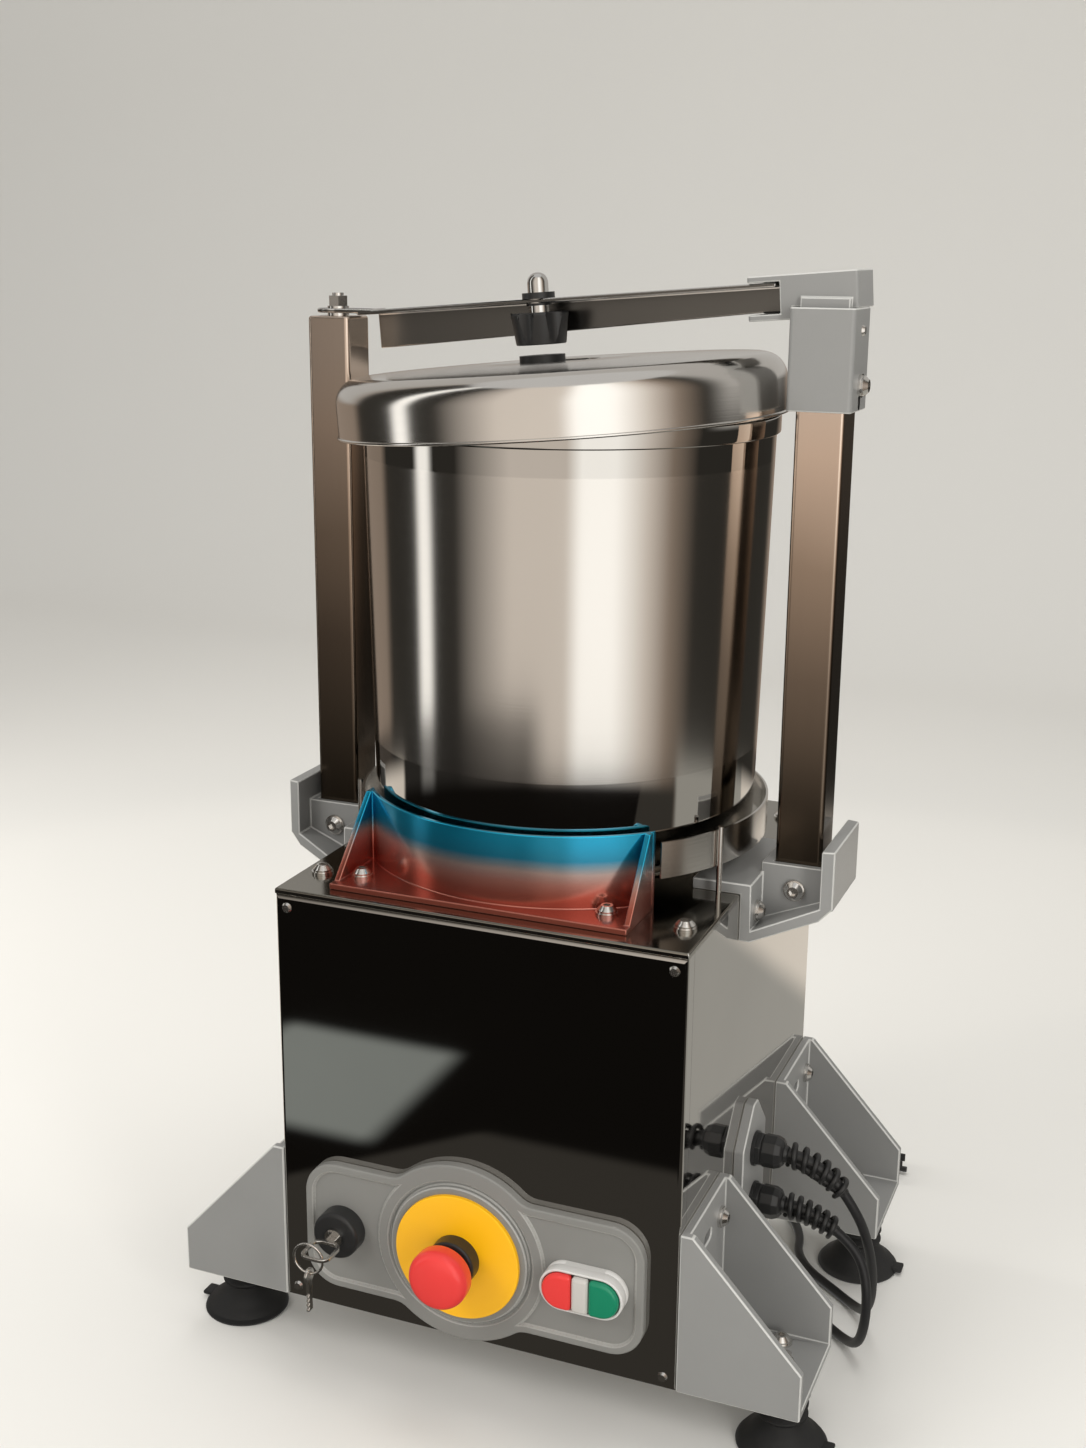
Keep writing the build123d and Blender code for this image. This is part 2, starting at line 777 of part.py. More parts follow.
yoke -= Pos(0, 0, ball_z) * Sphere(ball_radius + ball_gap)
yoke -= lathe((0, ball_z), (ball_radius + ball_gap, ball_z), (hub_radius - 6, hub_top + 1),
              (0, hub_top + 1))
save("stone_yoke", yoke)

inside_radius = drum_bottom_radius - drum_wall
blade_y = inside_radius - scraper_gap - scraper_inset
blade_back = blade_y - scraper_blade
scraper = block(-scraper_arm / 2, scraper_arm / 2, hub_radius - 2, blade_y - scraper_blade / 3,
                axle_z - scraper_arm / 2, axle_z + scraper_arm / 2)
blade = block(-scraper_width / 2, scraper_width / 2, blade_back, blade_y,
              granite_top + scraper_gap, axle_z + scraper_rise)
scraper += blade
scraper -= rod_z(0, 0, hub_bottom - 1, hub_top + 1, hub_radius + fit_gap)
save("scraper", scraper)

stone = rod_x(stone_inner, stone_outer, 0, axle_z, stone_radius)
stone = fillet(stone.edges().filter_by(GeomType.CIRCLE), stone_round)
stone -= rod_x(stone_inner - 1, stone_outer + 1, 0, axle_z, stone_bore)
bush = rod_x(stone_inner, stone_outer, 0, axle_z, stone_bore)
bush -= rod_x(stone_inner - 1, stone_outer + 1, 0, axle_z, axle_radius + fit_gap)
save("roller_stone_right", stone, bush)
save("roller_stone_left", mirrored(stone), mirrored(bush))

# The leaning frame: local Z runs up the screw axis from the ball seat
leaning = Pos(0, 0, ball_z) * Rot(0, -lean, 0)

bar_under = bar_level - bar_thickness
bar = block(-bar_left, bar_right, -bar_front, bar_back, bar_under, bar_level)
bar += prism_xz(bar_back - bar_thickness, bar_back, (-bar_left, bar_level), (bar_right, bar_level),
                (bar_right, bar_level - bar_drop_right), (catch_left - 6, bar_level - bar_drop_right),
                (-bar_left, bar_level - bar_drop_left))
bar -= rod_z(0, 0, bar_under - 1, bar_level + 1, bush_radius + fit_gap)
tab_bottom = left_post_top + pivot_washer
tab_top = tab_bottom + bar_thickness
bar = leaning * bar
tab = block(-tab_outer + tab_half, -tab_inner, -bar_front, tab_half, tab_bottom, tab_top)
tab += rod_z(-tab_outer + tab_half, 0, tab_bottom, tab_top, tab_half)
bar += tab
bar -= rod_z(-post_x, 0, tab_bottom - 1, tab_top + 1, bolt_radius + fit_gap)
save("crossbar", bar)

pivot_top = tab_top + washer_thickness + 7
pivot = rod_z(-post_x, 0, left_post_top - 16, pivot_top + 2, bolt_radius)
pivot += Pos(-post_x, 0, tab_top + washer_thickness) * extrude(RegularPolygon(7.2, 6), 7)
pivot += rod_z(-post_x, 0, tab_top, tab_top + washer_thickness, washer_radius)
pivot += rod_z(-post_x, 0, left_post_top, tab_bottom, washer_radius)
save("pivot_bolt", pivot)

bush_ring = lathe((screw_shaft_radius + fit_gap, bar_under - 1.5), (bush_radius, bar_under - 1.5),
                  (bush_radius, bar_level), (bush_flange_radius, bar_level),
                  (bush_flange_radius, bar_level + bush_flange),
                  (screw_shaft_radius + fit_gap, bar_level + bush_flange))
save("screw_bush", leaning * bush_ring)

knob_top = bar_level - knob_top_drop
knob_bottom = knob_top - knob_height
screw_top = bar_level + screw_dome_rise
screw = rod_z(0, 0, knob_bottom + 5, screw_top, screw_shaft_radius)
screw = fillet(screw.faces().sort_by(Axis.Z)[-1].edges(), screw_shaft_radius - 0.4)
save("tension_screw", leaning * screw)

knob = lathe((0, knob_bottom), (knob_base_radius, knob_bottom), (knob_radius, knob_top), (0, knob_top))
knob = fillet(knob.edges().filter_by(GeomType.CIRCLE).sort_by(Axis.Z)[-1], knob_round)
for lobe in range(knob_lobes):
    scallop_centre = knob_radius + knob_scallop - knob_scallop_depth
    x, y = polar(scallop_centre, knob_scallop_turn + lobe * 360 / knob_lobes)
    knob -= rod_z(x, y, knob_bottom - 1, knob_top + 1, knob_scallop)
knob -= rod_z(0, 0, knob_bottom + 5, knob_top + 1, screw_shaft_radius + fit_gap)
save("pressure_knob", leaning * knob)

lid_under = lid_bottom + lid_height - lid_sheet
stem_top = lid_under - lid_rest_thickness
cap_top = lid_under + lid_sheet + cap_height
pressure_post = Sphere(ball_radius) + rod_z(0, 0, 0, stem_top + 1, post_stem_radius - 2.5)
pressure_post += rod_z(0, 0, hub_rise + 6, stem_top + 1, post_stem_radius)
pressure_post += rod_z(0, 0, stem_top, lid_under, lid_rest_radius)
pressure_post += rod_z(0, 0, lid_under - 1, cap_top, cap_radius)
save("pressure_post", leaning * pressure_post)

lid_edge = lid_height - lid_crown
lid = lathe((0, 0), (lid_radius, 0), (lid_radius, lid_edge), (lid_flat, lid_height), (0, lid_height))
lid = fillet(lid.edges().filter_by(GeomType.CIRCLE).group_by(Axis.Z)[1], lid_round)
hollow_radius = lid_radius - lid_sheet
hollow = lathe((0, -1), (hollow_radius, -1), (hollow_radius, lid_edge - lid_sheet),
               (lid_flat, lid_height - lid_sheet), (0, lid_height - lid_sheet))
hollow = fillet(hollow.edges().filter_by(GeomType.CIRCLE).group_by(Axis.Z)[1], lid_round - lid_sheet)
lid -= hollow
lid -= rod_z(0, 0, -1, lid_height + 1, lid_hole)
hem = rod_z(0, 0, 0, lid_hem, lid_radius + lid_hem_out) - rod_z(0, 0, -1, lid_hem + 1, hollow_radius)
lid += hem
save("lid", leaning * Pos(lid_shift, 0, lid_bottom) * lid)

# Catch: a sleeve bolted over the right post, and a block with an open recess for the bar
sleeve = block(sleeve_left, sleeve_right, -sleeve_half, sleeve_half, sleeve_bottom, sleeve_top)
sleeve = fillet(sleeve.edges().filter_by(Axis.Z), 3)
sleeve -= block(post_x - socket, post_x + socket, -socket, socket, sleeve_bottom - 1, sleeve_top + 1)
sleeve -= rod_x(post_x, sleeve_right + 1, 0, sleeve_bolt_z, bolt_hole)
sleeve -= Pos(post_x, 0, sleeve_bolt_z - 10) * Rot(0, 90, 0) * extrude(SlotOverall(9, 4), 30)
sleeve -= rod_x(post_x, sleeve_right + 1, 0, sleeve_screw_z, screw_hole)
save("catch_sleeve", sleeve)

catch_bottom = bar_level - bar_drop_right - catch_lip - slide_gap
catch_top = bar_level + catch_lip + slide_gap
catch = block(catch_left, catch_right, -catch_front, catch_back, catch_bottom, catch_top)
catch = fillet(catch.edges().filter_by(Axis.Z), catch_corner)
catch -= block(catch_left - 1, catch_left + catch_recess, -catch_front - 1, bar_back + slide_gap,
               bar_level - bar_drop_right - slide_gap, bar_level + slide_gap)
catch = leaning * catch
catch -= block(sleeve_left - 0.5, catch_right, -catch_front - 1, catch_back + 1, sleeve_bottom, sleeve_top)
stem_half = post_size / 2 - 0.2
catch += block(post_x - stem_half, post_x + stem_half, -stem_half, stem_half,
               right_post_top + 0.1, sleeve_top + 6)
catch -= rod_x(post_x, sleeve_right + 1, 0, sleeve_screw_z, screw_hole)
save("bar_catch", catch)
catch_screw = Pos(sleeve_right, 0, sleeve_screw_z) * face_right * panel_screw(14)
save("fasteners", *panel_screws, *bracket_fasteners, *post_bolts, *top_bolts, sleeve_bolt, catch_screw)

# Drive: bearing housing under the top plate, belt pulleys, motor
housing_bottom = top_under - housing_drop
shaft_hole = shaft_radius + 3
housing_step = top_under - housing_flange
upper_race = housing_step - bearing_width
race_stop = bearing_radius - 3
housing = lathe((bearing_radius, housing_bottom), (housing_radius, housing_bottom),
                (housing_radius, housing_step), (housing_flange_radius, housing_step),
                (housing_flange_radius, top_under), (shaft_hole, top_under),
                (shaft_hole, housing_step), (bearing_radius, housing_step),
                (bearing_radius, upper_race), (race_stop, upper_race),
                (race_stop, housing_bottom + bearing_width),
                (bearing_radius, housing_bottom + bearing_width))
save("bearing_housing", housing)
race = lathe((shaft_radius + fit_gap, 0), (bearing_radius - fit_gap, 0),
             (bearing_radius - fit_gap, bearing_width), (shaft_radius + fit_gap, bearing_width))
save("shaft_bearings", Pos(0, 0, housing_bottom) * race, Pos(0, 0, upper_race) * race)


def pulley(radius, bore):
    half = belt_width / 2 + 0.5
    rim = radius + pulley_rim
    face = half + pulley_flange
    return lathe((bore, -face), (rim, -face), (rim, -half), (radius, -half),
                 (radius, half), (rim, half), (rim, face), (bore, face))


save("drum_pulley", Pos(0, 0, pulley_level) * pulley(drum_pulley_radius, shaft_radius + fit_gap))
motor_place = Pos(motor_x, motor_y, 0)
motor_pulley_spot = Pos(motor_x, motor_y, pulley_level)
shaft_end = pulley_level + belt_width
rotor = rod_z(0, 0, motor_top + seat_gap, shaft_end, motor_shaft_radius)
save("motor_pulley", motor_pulley_spot * pulley(motor_pulley_radius, 0) + motor_place * rotor)


def belt_path(offset):
    big = Circle(drum_pulley_radius + offset)
    small = Pos(motor_x, motor_y) * Circle(motor_pulley_radius + offset)
    outline = make_hull((big + small).edges())
    return extrude(Pos(0, 0, pulley_level - belt_width / 2) * outline, belt_width)


save("drive_belt", belt_path(belt_thickness) - belt_path(seat_gap))

motor_base = foot_height + sheet
motor_neck = motor_radius - motor_end_step
motor_nose = motor_neck - motor_rib
motor_low = motor_base + motor_foot_height + motor_end_step
motor_high = motor_top - 2 * motor_foot_height
motor = lathe((0, motor_base + 1), (motor_neck, motor_base + 1), (motor_neck, motor_low),
              (motor_radius, motor_low), (motor_radius, motor_high), (motor_neck, motor_high + motor_rib),
              (motor_nose, motor_high + motor_rib), (motor_nose, motor_top - motor_end_step),
              (2 * motor_shaft_radius, motor_top), (0, motor_top))
foot_half = motor_foot / 2
motor += block(-foot_half, foot_half, -foot_half, foot_half, motor_base, motor_base + motor_foot_height)
box_low = motor_base + motor_box_rise
motor += block(motor_neck, motor_radius + motor_box_reach, -motor_box_width / 2, motor_box_width / 2,
               box_low, box_low + motor_box_height)
save("motor", motor_place * motor)

# Control plate: a round middle and two lobes, with a raised rim, a ridge ring and a centre boss
plate_sketch = Pos(plate_x, plate_z) * Circle(plate_circle)
lobe_height = lobe_top - lobe_bottom
lobe_middle = (lobe_top + lobe_bottom) / 2
plate_sketch += Pos((plate_left + plate_right) / 2, lobe_middle) * RectangleRounded(
    plate_right - plate_left, lobe_height, lobe_corner)
waist = [v for v in plate_sketch.vertices() if abs(v.X - plate_x) < plate_circle * 0.95]
plate_sketch = fillet(waist, waist_round)
plate_middle = Pos(plate_x, plate_z)
pockets = offset(plate_sketch, amount=-plate_rim_width) - plate_middle * Circle(ridge_outer)
pockets += plate_middle * Circle(ridge_inner)


def on_panel(standoff):
    return Plane(origin=(0, panel_face - standoff, 0), x_dir=(1, 0, 0), z_dir=(0, -1, 0))


plate = extrude(on_panel(0) * plate_sketch, plate_thickness + plate_rim)
plate = fillet(plate.faces().sort_by(Axis.Y)[0].edges(), plate_round)
plate -= extrude(on_panel(plate_thickness) * pockets, plate_rim + 1)
boss_face = plate_thickness + boss_height
plate += rod_y(plate_x, panel_face - boss_face, panel_face, plate_z, boss_radius)
plate -= rod_y(plate_x, panel_face - boss_face - 1, panel_face + 1, plate_z, barrel_hole)
for x, z in ((key_x, key_z), (button_x, button_z)):
    plate -= rod_y(x, panel_face - plate_thickness - 1, panel_face + 1, z, barrel_hole)
save("control_plate", plate)

# Emergency stop: legend disc, collar with its contact block, plunger, mushroom head
disc_face = panel_face - boss_face
disc = rod_y(plate_x, disc_face - disc_thickness, disc_face, plate_z, disc_radius)
disc = fillet(disc.faces().sort_by(Axis.Y)[0].edges(), 0.8)
disc -= rod_y(plate_x, disc_face - disc_thickness - 1, disc_face + 1, plate_z, barrel_hole)
save("estop_disc", disc)

collar_back = disc_face - disc_thickness
collar_front = collar_back - collar_height
block_front = panel_face + sheet + 1
plunger_bore = plunger_radius + fit_gap


def contact_block(x, z):
    return block(x - block_width / 2, x + block_width / 2, block_front, block_front + block_depth,
                 z - block_height / 2, z + block_height / 2)


collar = rod_y(plate_x, collar_front, collar_back, plate_z, collar_radius)
collar = fillet(collar.faces().sort_by(Axis.Y)[0].edges(), 2)
collar += rod_y(plate_x, collar_back, block_front, plate_z, barrel_radius)
collar += contact_block(plate_x, plate_z)
collar -= rod_y(plate_x, collar_front - 1, block_front + press_travel + 6, plate_z, plunger_bore)
save("estop_body", collar)

head_back = collar_front - press_travel - 1
head_front = head_back - head_height
plunger = rod_y(plate_x, head_back - head_bore_depth, block_front + 5, plate_z, plunger_radius)
save("estop_plunger", plunger)
head = rod_y(plate_x, head_front, head_back, plate_z, head_radius)
head_edges = head.edges().filter_by(GeomType.CIRCLE).sort_by(Axis.Y)
head = fillet(head_edges[0], head_height - head_skirt)
head = chamfer(head.edges().filter_by(GeomType.CIRCLE).sort_by(Axis.Y)[-1], 3)
head -= rod_y(plate_x, head_back - head_bore_depth, head_back + 1, plate_z, plunger_bore)
save("estop_head", head)

# Key switch: bezel and contact block, turning lock cylinder, key, ring and spare key
plate_face = panel_face - plate_thickness
bezel_front = plate_face - key_bezel_height
switch = rod_y(key_x, bezel_front, plate_face, key_z, key_bezel_radius)
switch = fillet(switch.faces().sort_by(Axis.Y)[0].edges(), 3)
switch += rod_y(key_x, plate_face, block_front, key_z, barrel_radius)
switch += contact_block(key_x, key_z)
switch -= rod_y(key_x, bezel_front - 1, block_front + 10, key_z, lock_radius + fit_gap)
save("key_switch", switch)

lock_front = bezel_front - lock_proud
lock = rod_y(key_x, lock_front, block_front + 9, key_z, lock_radius)
slot_half = key_blade / 2 + fit_gap
slot_reach = key_blade_height / 2 + fit_gap
slot_end = lock_front + key_slot_depth + seat_gap
lock -= block(key_x - slot_reach, key_x + slot_reach, lock_front - 1, slot_end,
              key_z - slot_half, key_z + slot_half)
save("lock_cylinder", lock)

# The key lies flat: its bow is an open loop in front of the lock, level with the slot
half_blade = key_blade / 2
blade_solid = block(key_x - key_blade_height / 2, key_x + key_blade_height / 2, lock_front - 6,
                    lock_front + key_slot_depth, key_z - half_blade, key_z + half_blade)
bow_centre = lock_front - 5 - key_bow_height / 2
bow_plane = Plane(origin=(key_x, bow_centre, key_z - half_blade), x_dir=(1, 0, 0), z_dir=(0, 0, 1))
bow_outline = RectangleRounded(key_bow_width, key_bow_height, 7)
bow_inner = RectangleRounded(key_bow_width - 2 * key_bow_bar, key_bow_height - 2 * key_bow_bar, 5)
bow = extrude(bow_plane * bow_outline, key_blade) - extrude(bow_plane * bow_inner, key_blade)
key_edge = key_x - key_blade_height / 2
for index in range(notches):
    notch_y = lock_front + key_slot_depth - notch_pitch * (index + 0.8)
    blade_solid -= prism_xy(key_z - key_blade, key_z + key_blade, (key_edge - 1, notch_y - notch_depth - 1),
                            (key_edge + notch_depth, notch_y), (key_edge - 1, notch_y + notch_depth + 1))
save("key", blade_solid + bow)

# The split ring hangs over the left bar of the bow and carries the spare key edge-on
bar_reach = math.hypot(key_bow_bar / 2, half_blade)
ring_inner = ring_radius - ring_wire
ring_drop = ring_inner - bar_reach - seat_gap
ring_x = key_x - key_bow_width / 2 + key_bow_bar / 2
ring_y = bow_centre
ring_z = key_z - ring_drop
save("key_ring", Pos(ring_x, ring_y, ring_z) * Rot(90, 0, 0) * Torus(ring_radius, ring_wire))

spare_hole = ring_wire + 0.7
eye_z = ring_z - ring_radius
spare_top = eye_z + spare_hole + 2
head_plane = Plane(origin=(ring_x - half_blade, ring_y, spare_top - spare_head / 2),
                   x_dir=(0, 1, 0), z_dir=(1, 0, 0))
spare = extrude(head_plane * Circle(spare_head / 2), key_blade)
spare += block(ring_x - half_blade, ring_x + half_blade,
               ring_y - spare_blade / 2, ring_y + spare_blade / 2,
               spare_top - spare_length, spare_top - spare_head / 2)
spare -= rod_x(ring_x - 3, ring_x + 3, ring_y, eye_z, spare_hole)
spare_edge = ring_y - spare_blade / 2
for index in range(notches):
    notch_z = spare_top - spare_length + notch_pitch * (index + 0.8)
    spare -= prism_yz(ring_x - key_blade, ring_x + key_blade, (spare_edge - 1, notch_z - notch_depth - 1),
                      (spare_edge + notch_depth, notch_z), (spare_edge - 1, notch_z + notch_depth + 1))
save("spare_key", spare)

# Start and stop buttons in one bezel with a pilot lens between them
bezel_plane = Plane(origin=(button_x, plate_face, button_z), x_dir=(1, 0, 0), z_dir=(0, -1, 0))
bezel = extrude(bezel_plane * SlotOverall(bezel_width, bezel_height), bezel_depth)
bezel = fillet(bezel.faces().sort_by(Axis.Y)[0].edges(), 1.5)
bezel += rod_y(button_x, plate_face, block_front, button_z, barrel_radius)
bezel += contact_block(button_x, button_z)
cap_offset = button_width / 2 + lens_width / 2 + 0.5
button_gap = 0.25
well_depth = bezel_depth - 1.5
cap_end = button_height / 2


def half_slot(side, grow):
    shape = Pos(side * cap_offset, 0) * Rectangle(button_width + 2 * grow, button_height + 2 * grow)
    rounds = [v for v in shape.vertices() if side * v.X > cap_offset]
    return fillet(rounds, cap_end + grow - 0.2)


def on_bezel(standoff):
    return Plane(origin=(button_x, plate_face - standoff, button_z), x_dir=(1, 0, 0), z_dir=(0, -1, 0))


for side in (-1, 1):
    bezel -= extrude(on_bezel(bezel_depth - well_depth) * half_slot(side, button_gap), well_depth + 1)
lens_sketch = Rectangle(lens_width, button_height)
bezel -= extrude(on_bezel(bezel_depth - 3) * offset(lens_sketch, amount=fit_gap), 4)
save("button_bezel", bezel)
save("pilot_lens", extrude(on_bezel(bezel_depth - 3) * lens_sketch, 4))
for name, side in (("stop_button", -1), ("start_button", 1)):
    cap_back = bezel_depth - well_depth + button_travel + 0.5
    cap_depth = bezel_depth + button_proud - cap_back
    cap = extrude(on_bezel(cap_back) * half_slot(side, 0), cap_depth)
    cap = fillet(cap.faces().sort_by(Axis.Y)[0].edges(), 1.2)
    save(name, cap)

# Cable entry: chamfered plate, two glands, ribbed bend reliefs and the two cords
entry_face = half_w + entry_thickness
entry_low = entry_z - entry_tall
entry_high = entry_z + entry_tall
shoulder = entry_tall - entry_half * 0.9
entry_front = entry_y - entry_half
entry_back = entry_y + entry_half
entry = prism_yz(half_w, entry_face,
                 (entry_front, entry_z - shoulder), (entry_y - entry_tip, entry_low),
                 (entry_y + entry_tip, entry_low), (entry_back, entry_z - shoulder),
                 (entry_back, entry_z + shoulder), (entry_y + entry_tip, entry_high),
                 (entry_y - entry_tip, entry_high), (entry_front, entry_z + shoulder))
entry = fillet(entry.edges().filter_by(Axis.X), 4)
for z in gland_z:
    entry -= rod_x(half_w - 1, entry_face + 1, entry_y, z, gland_hole)
save("entry_plate", entry)

nut_end = entry_face + gland_nut
dome_end = nut_end + gland_dome
inner_nut = half_w - sheet


def gland(z):
    hexagon = extrude(Plane(origin=(entry_face, entry_y, z), x_dir=(0, 1, 0), z_dir=(1, 0, 0))
                      * RegularPolygon(gland_nut_radius, 6), gland_nut)
    dome = rod_x(nut_end, dome_end, entry_y, z, gland_dome_radius)
    dome = fillet(dome.faces().sort_by(Axis.X)[-1].edges(), 3)
    thread = rod_x(inner_nut - 8, entry_face, entry_y, z, gland_thread_radius)
    lock_nut = rod_x(inner_nut - 5, inner_nut, entry_y, z, gland_nut_radius)
    return hexagon + dome + thread + lock_nut


# A bend relief is a ribbed taper round an arc that turns the cord downwards
def bend_relief(z, bend_radius, bend_angle):
    bend_centre = Pos(dome_end, entry_y, z - bend_radius)
    start_plane = Plane(origin=(dome_end, entry_y, z), x_dir=(0, 1, 0), z_dir=(1, 0, 0))
    start_face = start_plane * Circle(relief_core)
    body = revolve(start_face, Axis((dome_end, entry_y, z - bend_radius), (0, 1, 0)), bend_angle)
    end_margin = math.degrees((relief_rib / 2 + relief_end_gap) / bend_radius)
    for index in range(relief_ribs):
        share = index / (relief_ribs - 1)
        turn = end_margin + (bend_angle - 2 * end_margin) * share
        radius = relief_start_radius + (relief_end_radius - relief_start_radius) * share
        place = bend_centre * Rot(0, turn, 0) * Pos(0, 0, bend_radius) * Rot(0, 90, 0)
        body += place * Cylinder(radius, relief_rib)
    return body


glands = []
cord_starts = []
for z, (bend_radius, bend_angle) in zip(gland_z, relief_bends):
    glands.append(gland(z) + bend_relief(z, bend_radius, bend_angle))
    turn = math.radians(bend_angle)
    start = Vector(dome_end + bend_radius * math.sin(turn), entry_y,
                   z - bend_radius + bend_radius * math.cos(turn))
    cord_starts.append((start, Vector(math.cos(turn), 0, -math.sin(turn))))
save("cable_glands", *glands)


# A cord runs straight between its points, joined by arcs as large as the runs allow
def cord_tube(points):
    path_points = [Vector(point) for point in points]
    radii = []
    for before, here, after in zip(path_points, path_points[1:], path_points[2:]):
        run_in = here - before
        run_out = after - here
        half_turn = math.radians(run_in.get_angle(run_out)) / 2
        radii.append(0.45 * min(run_in.length, run_out.length) / math.tan(half_turn))
    path = FilletPolyline(*path_points, radius=radii)
    section = Plane(origin=path_points[0], z_dir=path_points[1] - path_points[0]) * Circle(cord_radius)
    tube = sweep(section, path)
    print("cord radii", [round(radius) for radius in radii], "length", round(path.length),
          "volume share", round(tube.volume / (math.pi * cord_radius ** 2 * path.length), 4))
    return tube


# A coil: whole inner turns, and the outer turn only where the cord lies before it leaves
def coil(spot, radius, turns):
    height = coil_layers * turn_pitch
    outer = radius + cord_radius
    middle = radius - turn_pitch / 2
    inner = radius - (turns - 1) * turn_pitch - cord_radius
    body = rod_z(*spot, 0.1, height, middle) - rod_z(*spot, 0, height + 1, inner)
    turn = rod_z(*spot, 0.1, height, outer) - rod_z(*spot, 0, height + 1, middle - 0.1)
    turn &= block(spot[0] - outer - 1, spot[0], spot[1] - outer - 1, spot[1] + outer + 1, 0, height)
    return body + turn


upper_start, upper_way = cord_starts[0]
lower_start, lower_way = cord_starts[1]
mains_x, mains_y = mains_coil_spot
aux_x, aux_y = aux_coil_spot
top_turn = cord_floor + turn_pitch
mains_drop = [
    upper_start, upper_start + upper_way * 16, (235, -4, 97), (239, 4, 69), (238, 15, 40),
    (231, 32, 14), (217, 53, cord_floor), (196, 70, cord_floor), (175, 86, cord_floor),
    (161, 107, cord_floor), (158, 128, cord_floor), (150, 148, cord_floor), (137, 166, cord_floor),
    (mains_x + 19, mains_y - mains_coil_radius, cord_floor),
    (mains_x, mains_y - mains_coil_radius, cord_floor),
]
plug_face = mains_x + 56
plug_y = mains_y + mains_coil_radius - 4.5
plug_z = plug_height / 2 + 0.1
mains_tail = [
    (mains_x, mains_y + mains_coil_radius, top_turn), (mains_x + 17, mains_y + mains_coil_radius, top_turn),
    (mains_x + 38, plug_y, plug_z), (plug_face, plug_y, plug_z),
]
aux_drop = [
    lower_start, lower_start + lower_way * 13, (235.4, -12.4, 79.4), (241, -18, 59), (240, -20, 35),
    (234, -11, 14), (220, 8, cord_floor), (200, 25, cord_floor), (179, 42, cord_floor), (161, 62, cord_floor),
    (148, 87, cord_floor), (134, 111, cord_floor), (111, 132, cord_floor), (82, 143, cord_floor),
    (49, 149, cord_floor), (21, 162, cord_floor),
    (aux_x + 22, aux_y - aux_coil_radius, cord_floor), (aux_x, aux_y - aux_coil_radius, cord_floor),
]
connector_face = aux_x + 55
connector_y = aux_y + aux_coil_radius + 7
connector_z = connector_radius + 0.1
aux_tail = [
    (aux_x, aux_y + aux_coil_radius, top_turn), (aux_x + 18, aux_y + aux_coil_radius, top_turn),
    (aux_x + 39, connector_y, connector_z), (connector_face, connector_y, connector_z),
]
save("mains_cord", cord_tube(mains_drop), cord_tube(mains_tail))
save("mains_cord_coil", coil(mains_coil_spot, mains_coil_radius, mains_coil_turns))
save("aux_cord", cord_tube(aux_drop), cord_tube(aux_tail))
save("aux_cord_coil", coil(aux_coil_spot, aux_coil_radius, aux_coil_turns))

# Mains plug with two blades and an earth pin, lying on its side
plug = block(plug_face, plug_face + plug_length, plug_y - plug_width / 2, plug_y + plug_width / 2,
             plug_z - plug_height / 2, plug_z + plug_height / 2)
plug = fillet(plug.edges().filter_by(Axis.X), plug_corner)
plug = fillet(plug.faces().sort_by(Axis.X)[0].edges(), plug_nose)
plug_end = plug_face + plug_length
for side in (-1, 1):
    blade_y = plug_y + side * blade_spread
    plug += block(plug_end - 1, plug_end + blade_reach, blade_y - blade_half, blade_y + blade_half,
                  plug_z - blade_rise, plug_z + blade_rise)
plug += rod_x(plug_end - 1, plug_end + earth_reach, plug_y, plug_z - earth_drop, earth_radius)
save("mains_plug", plug)

# Round metal connector with a knurled coupling ring
connector_end = connector_face + connector_length
mouth_floor = connector_end - connector_mouth
sleeve_radius = connector_radius - connector_step
connector = rod_x(connector_face, connector_end, connector_y, connector_z, sleeve_radius)
ring_start = connector_face + coupling_start
connector += rod_x(ring_start, ring_start + coupling_length, connector_y, connector_z, connector_radius)
connector -= rod_x(mouth_floor, connector_end + 1, connector_y, connector_z,
                   sleeve_radius - connector_wall)
for index in range(4):
    y, z = polar(contact_circle, 45 + 90 * index)
    connector += rod_x(mouth_floor - 1, connector_end - contact_radius, connector_y + y,
                       connector_z + z, contact_radius)
save("aux_connector", connector)
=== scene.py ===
import json
import math
import bpy
from mathutils import Matrix, Vector


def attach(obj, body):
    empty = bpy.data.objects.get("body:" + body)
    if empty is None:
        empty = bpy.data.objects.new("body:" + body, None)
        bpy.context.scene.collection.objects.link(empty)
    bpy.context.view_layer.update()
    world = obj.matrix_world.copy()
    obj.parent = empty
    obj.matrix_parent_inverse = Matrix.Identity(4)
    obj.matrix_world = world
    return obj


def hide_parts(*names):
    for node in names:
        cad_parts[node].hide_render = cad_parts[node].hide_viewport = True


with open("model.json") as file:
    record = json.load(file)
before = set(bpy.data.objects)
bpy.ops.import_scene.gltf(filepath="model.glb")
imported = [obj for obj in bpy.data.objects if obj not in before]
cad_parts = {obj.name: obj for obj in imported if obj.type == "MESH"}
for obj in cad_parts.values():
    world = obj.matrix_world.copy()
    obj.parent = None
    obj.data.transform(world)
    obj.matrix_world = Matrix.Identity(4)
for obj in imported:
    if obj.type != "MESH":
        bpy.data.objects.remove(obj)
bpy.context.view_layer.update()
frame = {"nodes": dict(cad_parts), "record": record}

nodes = frame["nodes"]
scene = bpy.context.scene
scene.view_settings.view_transform = "Standard"
print("frame loaded:", len(nodes), "nodes")

# The drum axis, about which the turned pieces are made, in metres
axisSpot = Vector((0, 0.0245, 0))

# Metres: how near a point counts as on a line, and how close points are welded in own and CAD meshes
near = 0.0001
weldGap = 0.000002
nodeWeldGap = 0.000005


def mm(*numbers):
    return Vector(numbers) / 1000


def atAxis(x, y, z):
    return mm(x, y, z) + axisSpot


# Body of each node, for the pieces that stand for it
bodyOf = {name: body for body, names in frame["record"]["behaviour"]["bodies"].items() for name in names}


def adopt(piece, *names):
    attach(piece, bodyOf[names[0]])
    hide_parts(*names)
    return piece


